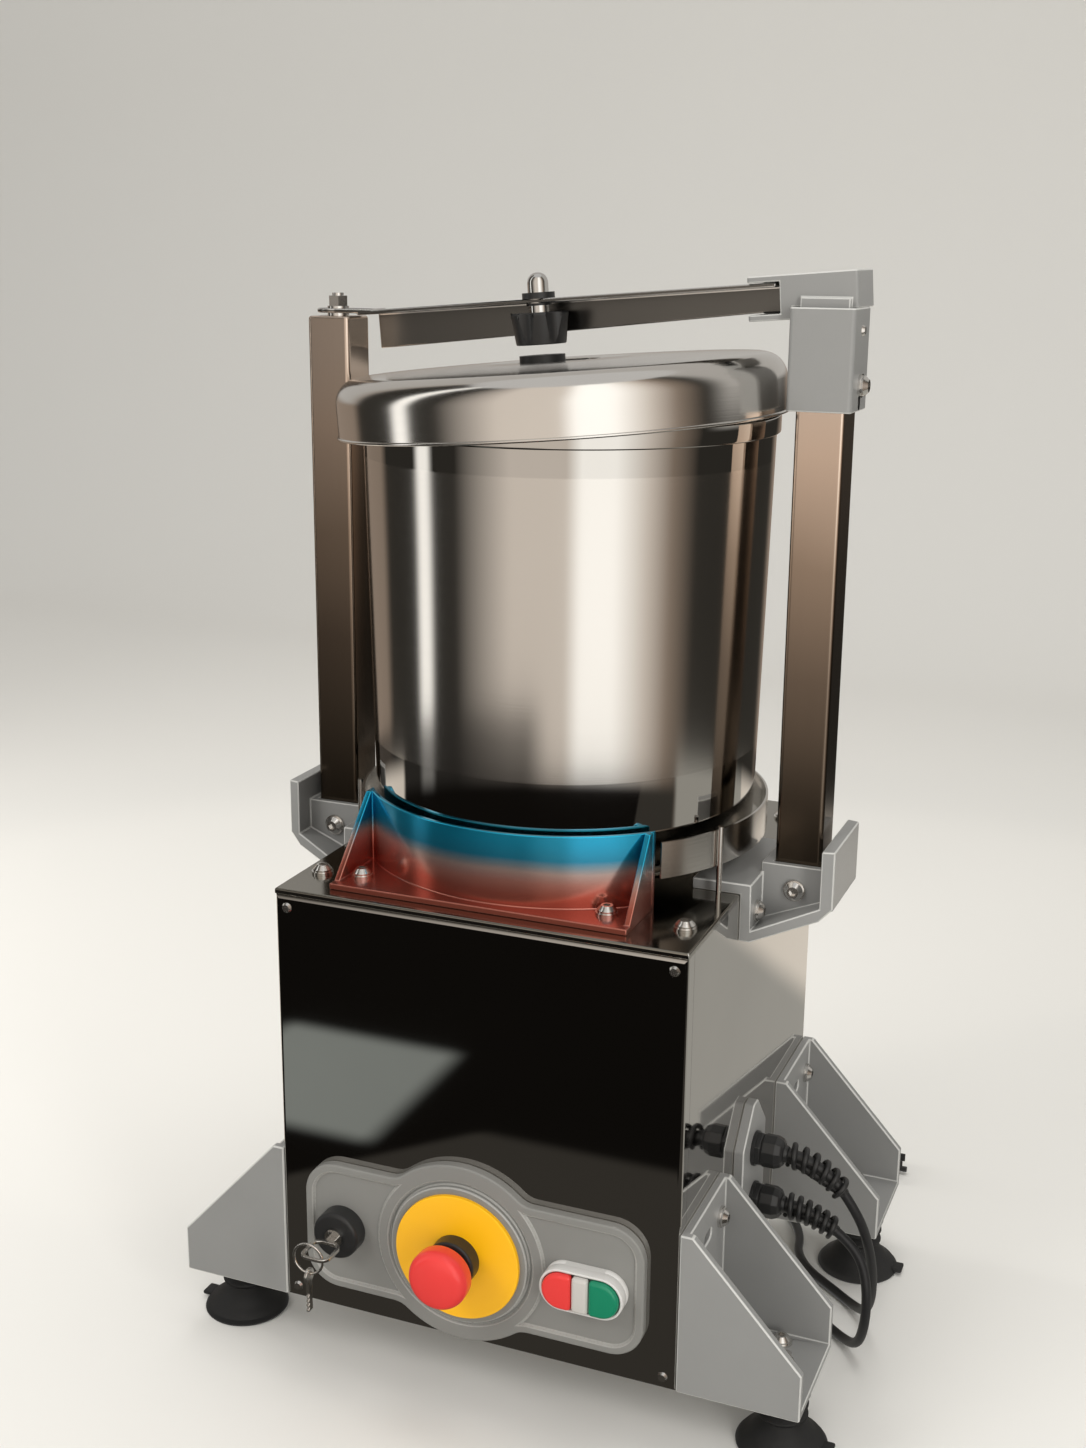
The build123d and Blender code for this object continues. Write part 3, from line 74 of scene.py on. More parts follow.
def selectOnly(piece):
    bpy.ops.object.select_all(action="DESELECT")
    piece.select_set(True)
    bpy.context.view_layer.objects.active = piece


def fixPlace(piece):
    selectOnly(piece)
    bpy.ops.object.transform_apply(location=True, rotation=True, scale=True)


def applyModifiers(piece):
    selectOnly(piece)
    for modifier in list(piece.modifiers):
        bpy.ops.object.modifier_apply(modifier=modifier.name)


def joined(name, pieces):
    selectOnly(pieces[0])
    for piece in pieces[1:]:
        piece.select_set(True)
    bpy.ops.object.join()
    pieces[0].name = name
    return pieces[0]


def twin(piece, name):
    made = piece.copy()
    made.data = piece.data.copy()
    made.name = name
    scene.collection.objects.link(made)
    return made


def nodeTwin(node, name):
    piece = twin(nodes[node], name)
    piece.parent = None
    piece.matrix_world = Matrix()
    selectOnly(piece)
    return piece


# Opens the selected CAD copy in edit mode, its faces joined along their shared edges
def openWelded():
    bpy.ops.object.mode_set(mode="EDIT")
    bpy.ops.mesh.select_all(action="SELECT")
    bpy.ops.mesh.remove_doubles(threshold=nodeWeldGap)


# Leaves the piece open in edit mode with only those edges or faces selected whose corners are chosen
def pick(piece, kind, chosen):
    bpy.ops.object.mode_set(mode="EDIT")
    bpy.ops.mesh.select_mode(type=kind)
    bpy.ops.mesh.select_all(action="DESELECT")
    bpy.ops.object.mode_set(mode="OBJECT")
    for part in piece.data.edges if kind == "EDGE" else piece.data.polygons:
        part.select = chosen([piece.data.vertices[index].co for index in part.vertices])
    bpy.ops.object.mode_set(mode="EDIT")


def roundEdges(piece, width, segments, limit=30):
    edges = piece.modifiers.new("edges", "BEVEL")
    edges.width = width / 1000
    edges.segments = segments
    edges.limit_method = "ANGLE"
    edges.angle_limit = math.radians(limit)
    return edges


# Camera at the photograph's angle
view = {
    "place": (0.4372, -1.0993, 0.7745),
    "yaw": 22.03,
    "pitch": 15.19,
    "roll": 0.5,
    "lens": 29.297,
    "sensor": 24,
}
yaw, pitch, roll = (math.radians(view[key]) for key in ("yaw", "pitch", "roll"))
forward = Vector((-math.sin(yaw) * math.cos(pitch), math.cos(yaw) * math.cos(pitch), -math.sin(pitch)))
level = Vector((math.cos(yaw), math.sin(yaw), 0))
upright = level.cross(forward)
right = level * math.cos(roll) + upright * math.sin(roll)
up = upright * math.cos(roll) - level * math.sin(roll)
bpy.ops.object.camera_add(location=view["place"])
camera = bpy.context.object
camera.name = "viewCamera"
camera.rotation_euler = Matrix((right, up, -forward)).transposed().to_euler()
camera.data.lens = view["lens"]
camera.data.sensor_fit = "VERTICAL"
camera.data.sensor_height = view["sensor"]
scene.camera = camera
print("camera set")


# Shader kit: values that add their own Math nodes, and one method for every other node
class Value:
    def __init__(self, finish, socket):
        self.finish = finish
        self.socket = socket

    def math(self, operation, first, second):
        return self.finish.node("ShaderNodeMath", {"operation": operation}, {0: first, 1: second})

    def __add__(self, other):
        return self.math("ADD", self, other)

    def __radd__(self, other):
        return self.math("ADD", other, self)

    def __sub__(self, other):
        return self.math("SUBTRACT", self, other)

    def __rsub__(self, other):
        return self.math("SUBTRACT", other, self)

    def __mul__(self, other):
        return self.math("MULTIPLY", self, other)

    def __truediv__(self, other):
        return self.math("DIVIDE", self, other)


class Finish:
    def __init__(self, name):
        self.material = bpy.data.materials.new(name)
        self.material.use_nodes = True
        self.tree = self.material.node_tree
        self.shader = self.tree.nodes["Principled BSDF"]

    def node(self, kind, settings=None, sockets=None, out=0):
        made = self.tree.nodes.new(kind)
        for key, setting in (settings or {}).items():
            if key == "stops":
                ramp = made.color_ramp
                while len(ramp.elements) < len(setting):
                    ramp.elements.new(0.5)
                for element, (position, colour) in zip(ramp.elements, setting):
                    element.position = position
                    element.color = (*colour, 1)
            else:
                setattr(made, key, setting)
        for key, given in (sockets or {}).items():
            self.feed(made.inputs[key], given)
        return Value(self, made.outputs[out])

    def feed(self, socket, given):
        if isinstance(given, Value):
            self.tree.links.new(given.socket, socket)
        elif socket.type == "RGBA" and len(given) == 3:
            socket.default_value = (*given, 1)
        else:
            socket.default_value = given

    def place(self):
        return self.node("ShaderNodeTexCoord", out=3)

    def axis(self, name):
        return self.node("ShaderNodeSeparateXYZ", None, {0: self.place()}, "XYZ".index(name))

    def noise(self, scale, detail=3, stretch=(1, 1, 1)):
        spot = self.node("ShaderNodeMapping", None, {"Vector": self.place(), "Scale": stretch})
        return self.node("ShaderNodeTexNoise", None, {"Vector": spot, "Scale": scale, "Detail": detail})

    def span(self, value, low, high, toLow=0.0, toHigh=1.0):
        return self.node("ShaderNodeMapRange", {"interpolation_type": "SMOOTHSTEP"},
                         {"Value": value, "From Min": low, "From Max": high,
                          "To Min": toLow, "To Max": toHigh})

    def rise(self, value, ends):
        return self.span(value, *ends)

    def fall(self, value, ends, most=1):
        return self.span(value, *ends, most, 0)

    def mix(self, share, first, second):
        return self.node("ShaderNodeMix", {"data_type": "RGBA"}, {0: share, 6: first, 7: second}, 2)

    def tint(self, value, *stops):
        return self.node("ShaderNodeValToRGB", {"stops": stops}, {0: value})

    def bump(self, height, distance, strength):
        return self.node("ShaderNodeBump", None,
                         {"Height": height, "Distance": distance, "Strength": strength})

    def fixed(self, **numbers):
        for key, number in numbers.items():
            self.shader.inputs[key.replace("_", " ")].default_value = number

    def surface(self, **links):
        for key, given in links.items():
            self.feed(self.shader.inputs[key.replace("_", " ")], given)
        return self.material


# Pale floor that curves up into the backdrop, and soft studio light
studio = {
    "floor": (0.74, 0.73, 0.70),
    "clouds": (0.70, 0.69, 0.66),
    "width": 12,
    "front": -5,
    "back": 3.2,
    "height": 5,
    "sweep": 1.2,
    "sweepSteps": 24,
    "sky": (1.0, 0.985, 0.96),
    "world": 0.62,
}
bpy.ops.object.select_all(action="DESELECT")
bpy.ops.mesh.primitive_plane_add(size=1, location=(0, 0, 0))
backdrop = bpy.context.object
backdrop.name = "studioFloor"
backdrop.scale = (studio["width"], studio["back"] - studio["front"], 1)
backdrop.location.y = (studio["back"] + studio["front"]) / 2
fixPlace(backdrop)
backLine = studio["back"] - near
pick(backdrop, "EDGE", lambda ends: all(end.y > backLine for end in ends))
bpy.ops.mesh.extrude_region_move(TRANSFORM_OT_translate={"value": (0, 0, studio["height"])})
bpy.ops.object.mode_set(mode="OBJECT")
pick(backdrop, "EDGE", lambda ends: all(end.y > backLine and end.z < near for end in ends))
bpy.ops.mesh.bevel(offset=studio["sweep"], segments=studio["sweepSteps"], affect="EDGES")
bpy.ops.object.mode_set(mode="OBJECT")
bpy.ops.object.shade_smooth()
backdrop.visible_glossy = False
floorPaint = Finish("studioPaper")
floorPaint.fixed(Roughness=0.85, Specular_IOR_Level=0.2)
clouds = floorPaint.noise(1.5) * 0.25
floorPaint.surface(Base_Color=floorPaint.mix(clouds, studio["floor"], studio["clouds"]))
backdrop.data.materials.append(floorPaint.material)

world = bpy.data.worlds.new("studioWorld")
scene.world = world
world.use_nodes = True
sky = world.node_tree.nodes["Background"]
sky.inputs["Color"].default_value = (*studio["sky"], 1)
sky.inputs["Strength"].default_value = studio["world"]

# Each lamp: place, aim, width and height, power, colour
lamps = {
    "keyLamp": ((-1.5, -1.9, 2.1), (0, 0, 0.4), (1.4, 1.4), 34, (1.0, 0.98, 0.95)),
    "topLamp": ((0.2, 0.3, 2.4), (0, 0, 0.4), (1.6, 1.2), 20, (1.0, 0.99, 0.97)),
    "stripLamp": ((1.35, -1.15, 0.75), (0, 0.02, 0.5), (0.32, 1.5), 14, (1.0, 0.98, 0.95)),
    "leftLamp": ((-1.7, 0.25, 0.8), (0, 0.02, 0.5), (0.25, 1.4), 8, (1.0, 0.97, 0.93)),
}
for name, (place, aim, size, power, colour) in lamps.items():
    bpy.ops.object.light_add(type="AREA", location=place)
    lamp = bpy.context.object
    lamp.name = name
    lamp.rotation_euler = (Vector(aim) - Vector(place)).to_track_quat("-Z", "Y").to_euler()
    lamp.data.shape = "RECTANGLE"
    lamp.data.size, lamp.data.size_y = size
    lamp.data.energy = power
    lamp.data.color = colour
    lamp.visible_glossy = False

# A ring of cards that only reflections see: windows, walls and dark gaps round the machine, from the front
# (0) to the right (90), back (180) and left (-90), with a dark floor before the front panel
cards = {
    "radius": 3.0,
    "foot": 0.004,
    "height": 6.0,
    "window": (1.45, 1.42, 1.36),
    "pale": (0.80, 0.72, 0.64),
    "warm": (0.30, 0.235, 0.185),
    "gap": (0.035, 0.032, 0.027),
    "sectors": (
        (-180, "warm"), (-104, "warm"), (-97, "gap"), (-71, "gap"), (-67, "window"), (-61, "window"),
        (-57, "gap"), (-42, "gap"), (-10, "pale"), (20, "pale"), (28, "window"), (46, "window"),
        (64, "pale"), (78, "warm"), (94, "gap"), (168, "gap"), (180, "warm"),
    ),
    "frontFloor": (0.007, 0.006, 0.005),
    "benchFloor": (0.05, 0.045, 0.038),
    "trayPatch": (0.30, 0.32, 0.30),
    "sideFloor": (0.42, 0.405, 0.365),
    "sideFar": (0.86, 0.78, 0.68),
    "duskFloor": (0.03, 0.028, 0.025),
    "backWall": (0.50, 0.48, 0.45),
}
# Where the cards' floor areas fade in or out, in metres from the drum axis: outward, across and in depth
fades = {
    "frontReach": (1.14, 1.24), "sideReach": (1.22, 1.36), "middle": (-0.12, -0.04),
    "trayLeft": (-0.44, -0.41), "trayRight": (-0.25, -0.22),
    "trayFront": (-0.66, -0.63), "trayBack": (-0.47, -0.44),
    "benchSlope": 0.9, "benchEdge": (-0.62, -0.6), "benchFront": (-0.52, -0.5),
    "farSlope": 1.09, "farEdge": (0.3, 0.38),
    "duskReach": (1.44, 1.54), "duskRight": (-0.05, 0.35), "duskShare": 0.85,
    "wallHeight": (0.5, 0.9), "wallDepth": (0.2, 1.2),
}
bpy.ops.object.select_all(action="DESELECT")
bpy.ops.mesh.primitive_circle_add(vertices=72, radius=cards["radius"],
                                  location=(0, axisSpot.y, cards["foot"]), fill_type="NGON")
cardRing = bpy.context.object
cardRing.name = "cardRing"
bpy.ops.object.mode_set(mode="EDIT")
bpy.ops.mesh.select_mode(type="EDGE")
bpy.ops.mesh.select_all(action="SELECT")
bpy.ops.mesh.extrude_edges_move(TRANSFORM_OT_translate={"value": (0, 0, cards["height"])})
bpy.ops.object.mode_set(mode="OBJECT")
fixPlace(cardRing)
for ray in ("camera", "diffuse", "transmission", "shadow", "volume_scatter"):
    setattr(cardRing, "visible_" + ray, False)
cloth = Finish("cardCloth")
cloth.fixed(Roughness=1, Specular_IOR_Level=0, Base_Color=(0, 0, 0, 1), Emission_Strength=1)
across, depth = cloth.axis("X"), cloth.axis("Y") - axisSpot.y
azimuth = cloth.node("ShaderNodeMath", {"operation": "ARCTAN2"}, {0: across, 1: depth * -1})
sectors = cloth.tint(azimuth / (2 * math.pi) + 0.5,
                     *[((angle + 180) / 360, cards[tone]) for angle, tone in cards["sectors"]])
reach = cloth.node("ShaderNodeMath", {"operation": "SQRT"}, {0: across * across + depth * depth})
nearFront = cloth.fall(reach, fades["frontReach"]) * cloth.fall(depth, fades["middle"])
nearSide = cloth.fall(reach, fades["sideReach"]) * cloth.rise(depth, fades["middle"])
tray = (cloth.rise(across, fades["trayLeft"]) * cloth.fall(across, fades["trayRight"])
        * cloth.rise(depth, fades["trayFront"]) * cloth.fall(depth, fades["trayBack"]))
bench = (cloth.rise(across + depth * fades["benchSlope"], fades["benchEdge"])
         * cloth.rise(depth, fades["benchFront"]))
front = cloth.mix(tray, cloth.mix(bench, cards["frontFloor"], cards["benchFloor"]), cards["trayPatch"])
far = cloth.rise(depth - across * fades["farSlope"], fades["farEdge"])
side = cloth.mix(far, cards["sideFloor"], cards["sideFar"])
dusk = (cloth.fall(reach, fades["duskReach"], fades["duskShare"])
        * cloth.fall(across, fades["duskRight"]))
behind = cloth.rise(cloth.axis("Z"), fades["wallHeight"]) * cloth.rise(depth, fades["wallDepth"])
sectors = cloth.mix(behind, cloth.mix(dusk, sectors, cards["duskFloor"]), cards["backWall"])
cloth.surface(Emission_Color=cloth.mix(nearFront, cloth.mix(nearSide, sectors, side), front))
cardRing.data.materials.append(cloth.material)
print("studio set")

# The two leads: routes in millimetres from the drum axis, then the coil as more points of the same line
leads = {
    "mainsLead": {
        "drop": [(218.32, -10, 131.10), (227.95, -10, 118.32), (235, -4, 97), (239, 4, 69), (238, 15, 40),
                 (231, 32, 14), (217, 53, 3.6), (196, 70, 3.6), (175, 86, 3.6), (161, 107, 3.6),
                 (158, 128, 3.6), (150, 148, 3.6), (137, 166, 3.6), (119, 175, 3.6)],
        "spot": (100, 225),
        "turns": (50, 42.8, 35.6),
        "tail": [(117, 275, 10.8), (138, 270.5, 12), (156, 270.5, 12)],
        "length": 1.85,
        "end": "plug",
        "replaces": ("mains_cord", "mains_cord_coil"),
        "piece": "mains_plug",
    },
    "auxLead": {
        "drop": [(214.55, -10, 100.34), (225.2, -10, 92.88), (235.4, -12.4, 79.4), (240.5, -18, 59),
                 (240, -20, 35), (234, -11, 14), (220, 8, 3.6), (200, 25, 3.6), (179, 42, 3.6),
                 (161, 62, 3.6), (148, 87, 3.6), (134, 111, 3.6), (111, 132, 3.6), (82, 143, 3.6),
                 (49, 149, 3.6), (21, 162, 3.6), (-3, 175, 3.6)],
        "spot": (-25, 222),
        "turns": (47, 39.8),
        "tail": [(-7, 269, 10.8), (14, 276, 9.5), (30, 276, 9.5)],
        "length": 1.42,
        "end": "connector",
        "replaces": ("aux_cord", "aux_cord_coil"),
        "piece": "aux_connector",
    },
}
coil = {"radius": 3.5, "pointsPerTurn": 16, "low": 3.6, "high": 10.8, "dip": 3}


# Left halves lie at one radius, right halves step to the next, and the climb is on a right half
def coilPoints(spot, turns):
    halves = []
    for index, radius in enumerate(turns):
        halves.append((radius, radius, coil["low"], coil["low"]))
        if index + 1 < len(turns):
            halves.append((radius, turns[index + 1], coil["low"], coil["low"]))
    halves.append((turns[-1], turns[-1], coil["low"], coil["high"]))
    for index, radius in enumerate(reversed(turns)):
        halves.append((radius, radius, coil["high"], coil["high"]))
        if index + 1 < len(turns):
            halves.append((radius, turns[-2 - index], coil["high"], coil["high"]))
    steps = coil["pointsPerTurn"] // 2
    swell = 1 / (0.75 + 0.25 * math.cos(math.pi / steps))
    points = []
    for half, (first, last, low, high) in enumerate(halves):
        for step in range(steps + (half == len(halves) - 1)):
            share = step / steps
            dip = coil["dip"] * math.sin(math.pi * share) if high > low else 0
            radius = (first + (last - first) * share - dip) * swell
            turn = -math.pi / 2 - math.pi * (half + share)
            points.append((spot[0] + radius * math.cos(turn), spot[1] + radius * math.sin(turn),
                           low + (high - low) * share))
    return points


def layLead(name, lead):
    line = bpy.data.curves.new(name, "CURVE")
    line.dimensions = "3D"
    line.bevel_depth = 1.0
    line.bevel_resolution = 5
    line.resolution_u = 6
    line.use_fill_caps = True
    route = lead["drop"] + coilPoints(lead["spot"], lead["turns"]) + lead["tail"]
    spline = line.splines.new("NURBS")
    spline.points.add(len(route) - 1)
    for point, spot in zip(spline.points, route):
        point.co = (*atAxis(*spot), 1)
        point.radius = coil["radius"] / 1000
    spline.order_u = 3
    spline.use_endpoint_u = True
    piece = bpy.data.objects.new(name, line)
    scene.collection.objects.link(piece)
    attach(piece, "machine")
    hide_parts(*lead["replaces"])
    return piece


leadPieces = [layLead(name, lead) for name, lead in leads.items()]
print("leads laid")


# Points of a round stretch between two angles in degrees
def arc(radius, centreRadius, centreHeight, first, last, count=8):
    turns = [math.radians(first + (last - first) * step / count) for step in range(count + 1)]
    return [(centreRadius + radius * math.cos(turn), centreHeight + radius * math.sin(turn))
            for turn in turns]


# Turned pieces: a profile of (radius, height) points is drawn by extruding one vertex, then spun
def turned(name, profile, steps=96, smooth=35):
    bpy.ops.object.select_all(action="DESELECT")
    bpy.ops.mesh.primitive_plane_add(size=0.001, location=(0, 0, 0))
    piece = bpy.context.object
    piece.name = name
    bpy.ops.object.mode_set(mode="EDIT")
    bpy.ops.mesh.select_mode(type="VERT")
    bpy.ops.mesh.select_all(action="SELECT")
    bpy.ops.mesh.merge(type="CENTER")
    bpy.ops.transform.translate(value=mm(profile[0][0], 0, profile[0][1]))
    for before, after in zip(profile, profile[1:]):
        step = mm(after[0] - before[0], 0, after[1] - before[1])
        bpy.ops.mesh.extrude_vertices_move(TRANSFORM_OT_translate={"value": step})
    bpy.ops.mesh.select_all(action="SELECT")
    bpy.ops.mesh.spin(steps=steps, angle=2 * math.pi, center=(0, 0, 0), axis=(0, 0, 1))
    bpy.ops.mesh.select_all(action="SELECT")
    bpy.ops.mesh.remove_doubles(threshold=weldGap)
    bpy.ops.mesh.normals_make_consistent(inside=False)
    bpy.ops.object.mode_set(mode="OBJECT")
    bpy.ops.object.shade_smooth_by_angle(angle=math.radians(smooth))
    return piece


# Drum: tapered wall, rounded foot, stepped rim with a rolled lip
drumForm = {
    "bottom": 372, "top": 668, "foot": 133, "flare": 0.26, "shoulder": 139.2, "rim": 142, "rimFoot": 655,
    "corner": 12, "innerCorner": 10, "wall": 1.5, "bore": 10.05, "floor": 2, "lip": 1.4,
    # The step under the rim: points inward from it and up from its foot
    "step": ((0.9, 0.5), (0.2, 1.1), (0, 2)),
    "innerStep": 1.5,
}


def makeDrum(form):
    low, corner, lip, rim, rimFoot = (form[key] for key in ("bottom", "corner", "lip", "rim", "rimFoot"))
    edge = form["foot"] + form["flare"] - corner
    outside = [(form["bore"], low), (edge, low), *arc(corner, edge, low + corner, -90, 0)]
    outside += [(form["shoulder"], rimFoot)] + [(rim - inward, rimFoot + up) for inward, up in form["step"]]
    outside += arc(lip, rim - lip, form["top"] - lip, 0, 180)
    inside = [(rim - 2 * lip, rimFoot + form["innerStep"]),
              (form["shoulder"] - form["wall"], rimFoot - form["innerStep"])]
    inside += arc(form["innerCorner"], edge, low + corner, 0, -90)
    inside += [(form["bore"], low + form["floor"]), (form["bore"], low)]
    piece = turned("drumShell", outside + inside, 192)
    piece.location = axisSpot
    fixPlace(piece)
    return adopt(piece, "drum")


# Lid: pressed crown, soft shoulder, straight skirt with a rolled hem; it leans with the bar
lidForm = {
    "lean": -4.6, "ball": 449.3, "shift": 12, "bottom": 208, "radius": 151.5, "sheet": 1.2,
    "round": 17, "roundHeight": 22.56, "roundEnd": 88, "shoulder": (110, 40.45),
    "crown": ((72, 41.72), (62, 41.95), (53, 42)), "underCrown": (62, 41.95), "height": 42,
    "hole": 29, "holeRound": (0.8, 0.5), "hem": 1.1, "hemInset": 0.2, "hemEnds": (190, 440), "hemTop": 3.4,
}


def leaningSpot(x, y, z):
    turn = Matrix.Rotation(math.radians(lidForm["lean"]), 3, "Y")
    return atAxis(0, 0, lidForm["ball"]) + turn @ mm(x, y, z)


def makeLid(form):
    radius, sheet, bend, hem, hole, height = (
        form[key] for key in ("radius", "sheet", "round", "hem", "hole", "height"))
    foot = (radius - sheet, hem)
    skirt = [foot, *arc(hem, radius - form["hemInset"], hem, *form["hemEnds"], 14), (radius, form["hemTop"])]
    outside = arc(bend, radius - bend, form["roundHeight"], 0, form["roundEnd"], 14)
    outside += [form["shoulder"], *form["crown"]]
    outside += [(hole + form["holeRound"][0], height), (hole, height - form["holeRound"][1])]
    inside = [(hole, height - sheet)]
    inside += [(reach, level - sheet) for reach, level in (form["underCrown"], form["shoulder"])]
    inside += arc(bend - sheet, radius - bend, form["roundHeight"], form["roundEnd"], 0, 14)
    piece = turned("lidShell", skirt + outside + inside + [foot], 192)
    piece.rotation_euler = (0, math.radians(form["lean"]), 0)
    piece.location = leaningSpot(form["shift"], 0, form["bottom"])
    fixPlace(piece)
    return adopt(piece, "lid")


# Mushroom head of the emergency stop, gently domed over a rounded rim
headForm = {
    "spot": (-7, -191, 119), "bore": 6.05, "boreDepth": 10, "radius": 20.8, "rim": 8, "rimHeight": 9.2,
    "underside": 17.4, "skirt": 17.6, "skirtRound": 3, "skirtEnds": (-85, -8), "height": 19, "dome": 50,
    "crown": (14, 10, 6, 3, 0),
}


def makeHead(form):
    bore, depth, dome, skirtRound = (form[key] for key in ("bore", "boreDepth", "dome", "skirtRound"))
    profile = [(0, depth), (bore, depth), (bore, 0), (form["underside"], 0)]
    profile += arc(skirtRound, form["skirt"], skirtRound, *form["skirtEnds"], 6)
    profile += arc(form["rim"], form["radius"] - form["rim"], form["rimHeight"], 0, 60)
    profile += [(reach, form["height"] - dome + math.sqrt(dome ** 2 - reach ** 2)) for reach in form["crown"]]
    piece = turned("stopHead", profile, 96)
    piece.rotation_euler = (math.radians(90), 0, 0)
    piece.location = atAxis(*form["spot"])
    fixPlace(piece)
    return adopt(piece, "estop_head")


# Suction feet: wide cup, bellows neck and a release tab on the outer side
footForm = {
    "spots": ((-207, -117), (-207, 117), (207, -117), (207, 117)), "cup": 31, "cupRound": 1.2,
    # Cup points inward from its rim, neck points outward from the neck, each with its height
    "cupSide": ((3, 5.4), (7, 8), (10, 11.2)), "neck": 13, "neckSide": ((4.4, 15.6), (1.4, 18), (0, 20)),
    "folds": (24, 32), "foldGap": 4, "foldHalf": 2.8, "foldFoot": 1.6, "foldRound": 1.5, "ring": 17,
    "collar": ((-0.6, 38.6), (1, 40), (1, 50)), "top": 50, "tab": (9, 12, 3.2), "tabHeight": 3.8,
    # In thousandths of each side of the tab
    "tabRound": 1.4,
}


def makeFeet(form):
    cup, neck, ring, cupRound = (form[key] for key in ("cup", "neck", "ring", "cupRound"))
    profile = [(0, 0), (cup - cupRound, 0), *arc(cupRound, cup - cupRound, cupRound, -80, 60, 5)]
    profile += [(cup - inward, height) for inward, height in form["cupSide"]]
    profile += [(neck + outward, height) for outward, height in form["neckSide"]]
    for middle in form["folds"]:
        profile += [(neck + form["foldFoot"], middle - form["foldHalf"]),
                    *arc(form["foldRound"], ring - form["foldRound"], middle, -70, 70, 5),
                    (neck + form["foldFoot"], middle + form["foldHalf"]), (neck, middle + form["foldGap"])]
    profile += [(ring + outward, height) for outward, height in form["collar"]] + [(0, form["top"])]
    masterFoot = turned("footMaster", profile, 64, 50)
    bpy.ops.object.select_all(action="DESELECT")
    bpy.ops.mesh.primitive_cube_add(size=1, location=(0, 0, 0), scale=mm(*form["tab"]))
    masterTab = bpy.context.object
    roundEdges(masterTab, form["tabRound"], 3)
    applyModifiers(masterTab)
    bpy.ops.object.shade_smooth_by_angle(angle=math.radians(40))
    feet = []
    for x, y in form["spots"]:
        foot = twin(masterFoot, "foot")
        foot.location = atAxis(x, y, 0)
        tab = twin(masterTab, "tab")
        tab.location = atAxis(x + math.copysign(cup, x), y, form["tabHeight"])
        for part in (foot, tab):
            fixPlace(part)
            feet.append(part)
    for master in (masterFoot, masterTab):
        bpy.data.objects.remove(master)
    return adopt(joined("suctionFeet", feet), "rubber_feet")


# Cable glands: flanged nut, faceted dome and a spiral bend relief that turns the lead down
glandForm = {
    "face": 152.4, "depth": -10, "reach": 22, "edge": 0.5,
    # Height of each gland, then the radius and angle of its bend
    "glands": ((153, 55, 53), (113, 70, 35)),
    # Turned parts: corners as radius and height from the plate, steps round, angle kept smooth, edges broken
    "parts": (
        (((5, -17.4), (9, -17.4), (9, 0.2), (5, 0.2)), 48, 35, False),
        (((9, -14.4), (13, -14.4), (13, -9.4), (9, -9.4)), 6, 20, True),
        (((5, 0), (12, 0), (12.9, 0.8), (12.9, 5.9), (12, 6.9), (5, 6.9)), 6, 20, True),
        (((9, 0), (12.4, 0), (12.6, 0.4), (12.6, 2.4), (12, 2.8), (9, 2.8)), 64, 35, False),
        (((4.6, 6.8), (11.4, 6.8), (12, 7.6), (12, 16.4), (10.4, 20.4), (8, 22.2), (4.6, 22.2)),
         10, 20, True),
    ),
}
reliefForm = {
    "hole": 4.6, "core": 4.8, "collar": ((6.2, 0), (6, 2.2)), "coreStart": 3.2, "coreEnd": 0.2, "rings": 18,
    "turns": 6, "wire": 1.9, "wireCorners": 12, "coilRadius": 8.1, "coilStart": 0.9, "coilEnd": 0.2,
    "coilSteps": 28, "taper": -0.16,
}


def makeRelief(bendRadius, bendAngle, form):
    hole, core, start, wire = (form[key] for key in ("hole", "core", "coreStart", "wire"))
    length = bendRadius * math.radians(bendAngle)
    rise = (length - start - form["coreEnd"]) / form["rings"]
    profile = [(hole, 0), *form["collar"]]
    profile += [(core, start + rise * ring) for ring in range(form["rings"] + 1)]
    profile += [(hole, length), (hole, 0)]
    sleeve = turned("relief", profile, 32, 50)
    bpy.ops.object.select_all(action="DESELECT")
    bpy.ops.mesh.primitive_circle_add(vertices=form["wireCorners"], radius=wire / 1000,
                                      rotation=(math.radians(90), 0, 0),
                                      location=mm(form["coilRadius"], 0, wire + form["coilStart"]))
    coilRib = bpy.context.object
    fixPlace(coilRib)
    rib = coilRib.modifiers.new("rib", "SCREW")
    rib.screw_offset = (length - 2 * wire - form["coilStart"] - form["coilEnd"]) / form["turns"] / 1000
    rib.iterations = form["turns"]
    rib.steps = rib.render_steps = form["coilSteps"]
    applyModifiers(coilRib)
    bpy.ops.object.mode_set(mode="EDIT")
    bpy.ops.mesh.select_all(action="DESELECT")
    bpy.ops.mesh.select_mode(type="EDGE")
    bpy.ops.mesh.select_non_manifold()
    bpy.ops.mesh.edge_face_add()
    bpy.ops.mesh.select_all(action="SELECT")
    bpy.ops.mesh.normals_make_consistent(inside=False)
    bpy.ops.object.mode_set(mode="OBJECT")
    bpy.ops.object.shade_smooth_by_angle(angle=math.radians(50))
    relief = joined("relief", [sleeve, coilRib])
    heights = [vertex.co.z for vertex in relief.data.vertices]
    taper = relief.modifiers.new("taper", "SIMPLE_DEFORM")
    taper.deform_method = "TAPER"
    taper.deform_axis = "Z"
    taper.factor = form["taper"]
    bend = relief.modifiers.new("bend", "SIMPLE_DEFORM")
    bend.deform_method = "BEND"
    bend.deform_axis = "Y"
    bend.angle = (max(heights) - min(heights)) * 1000 / bendRadius
    applyModifiers(relief)
    return relief


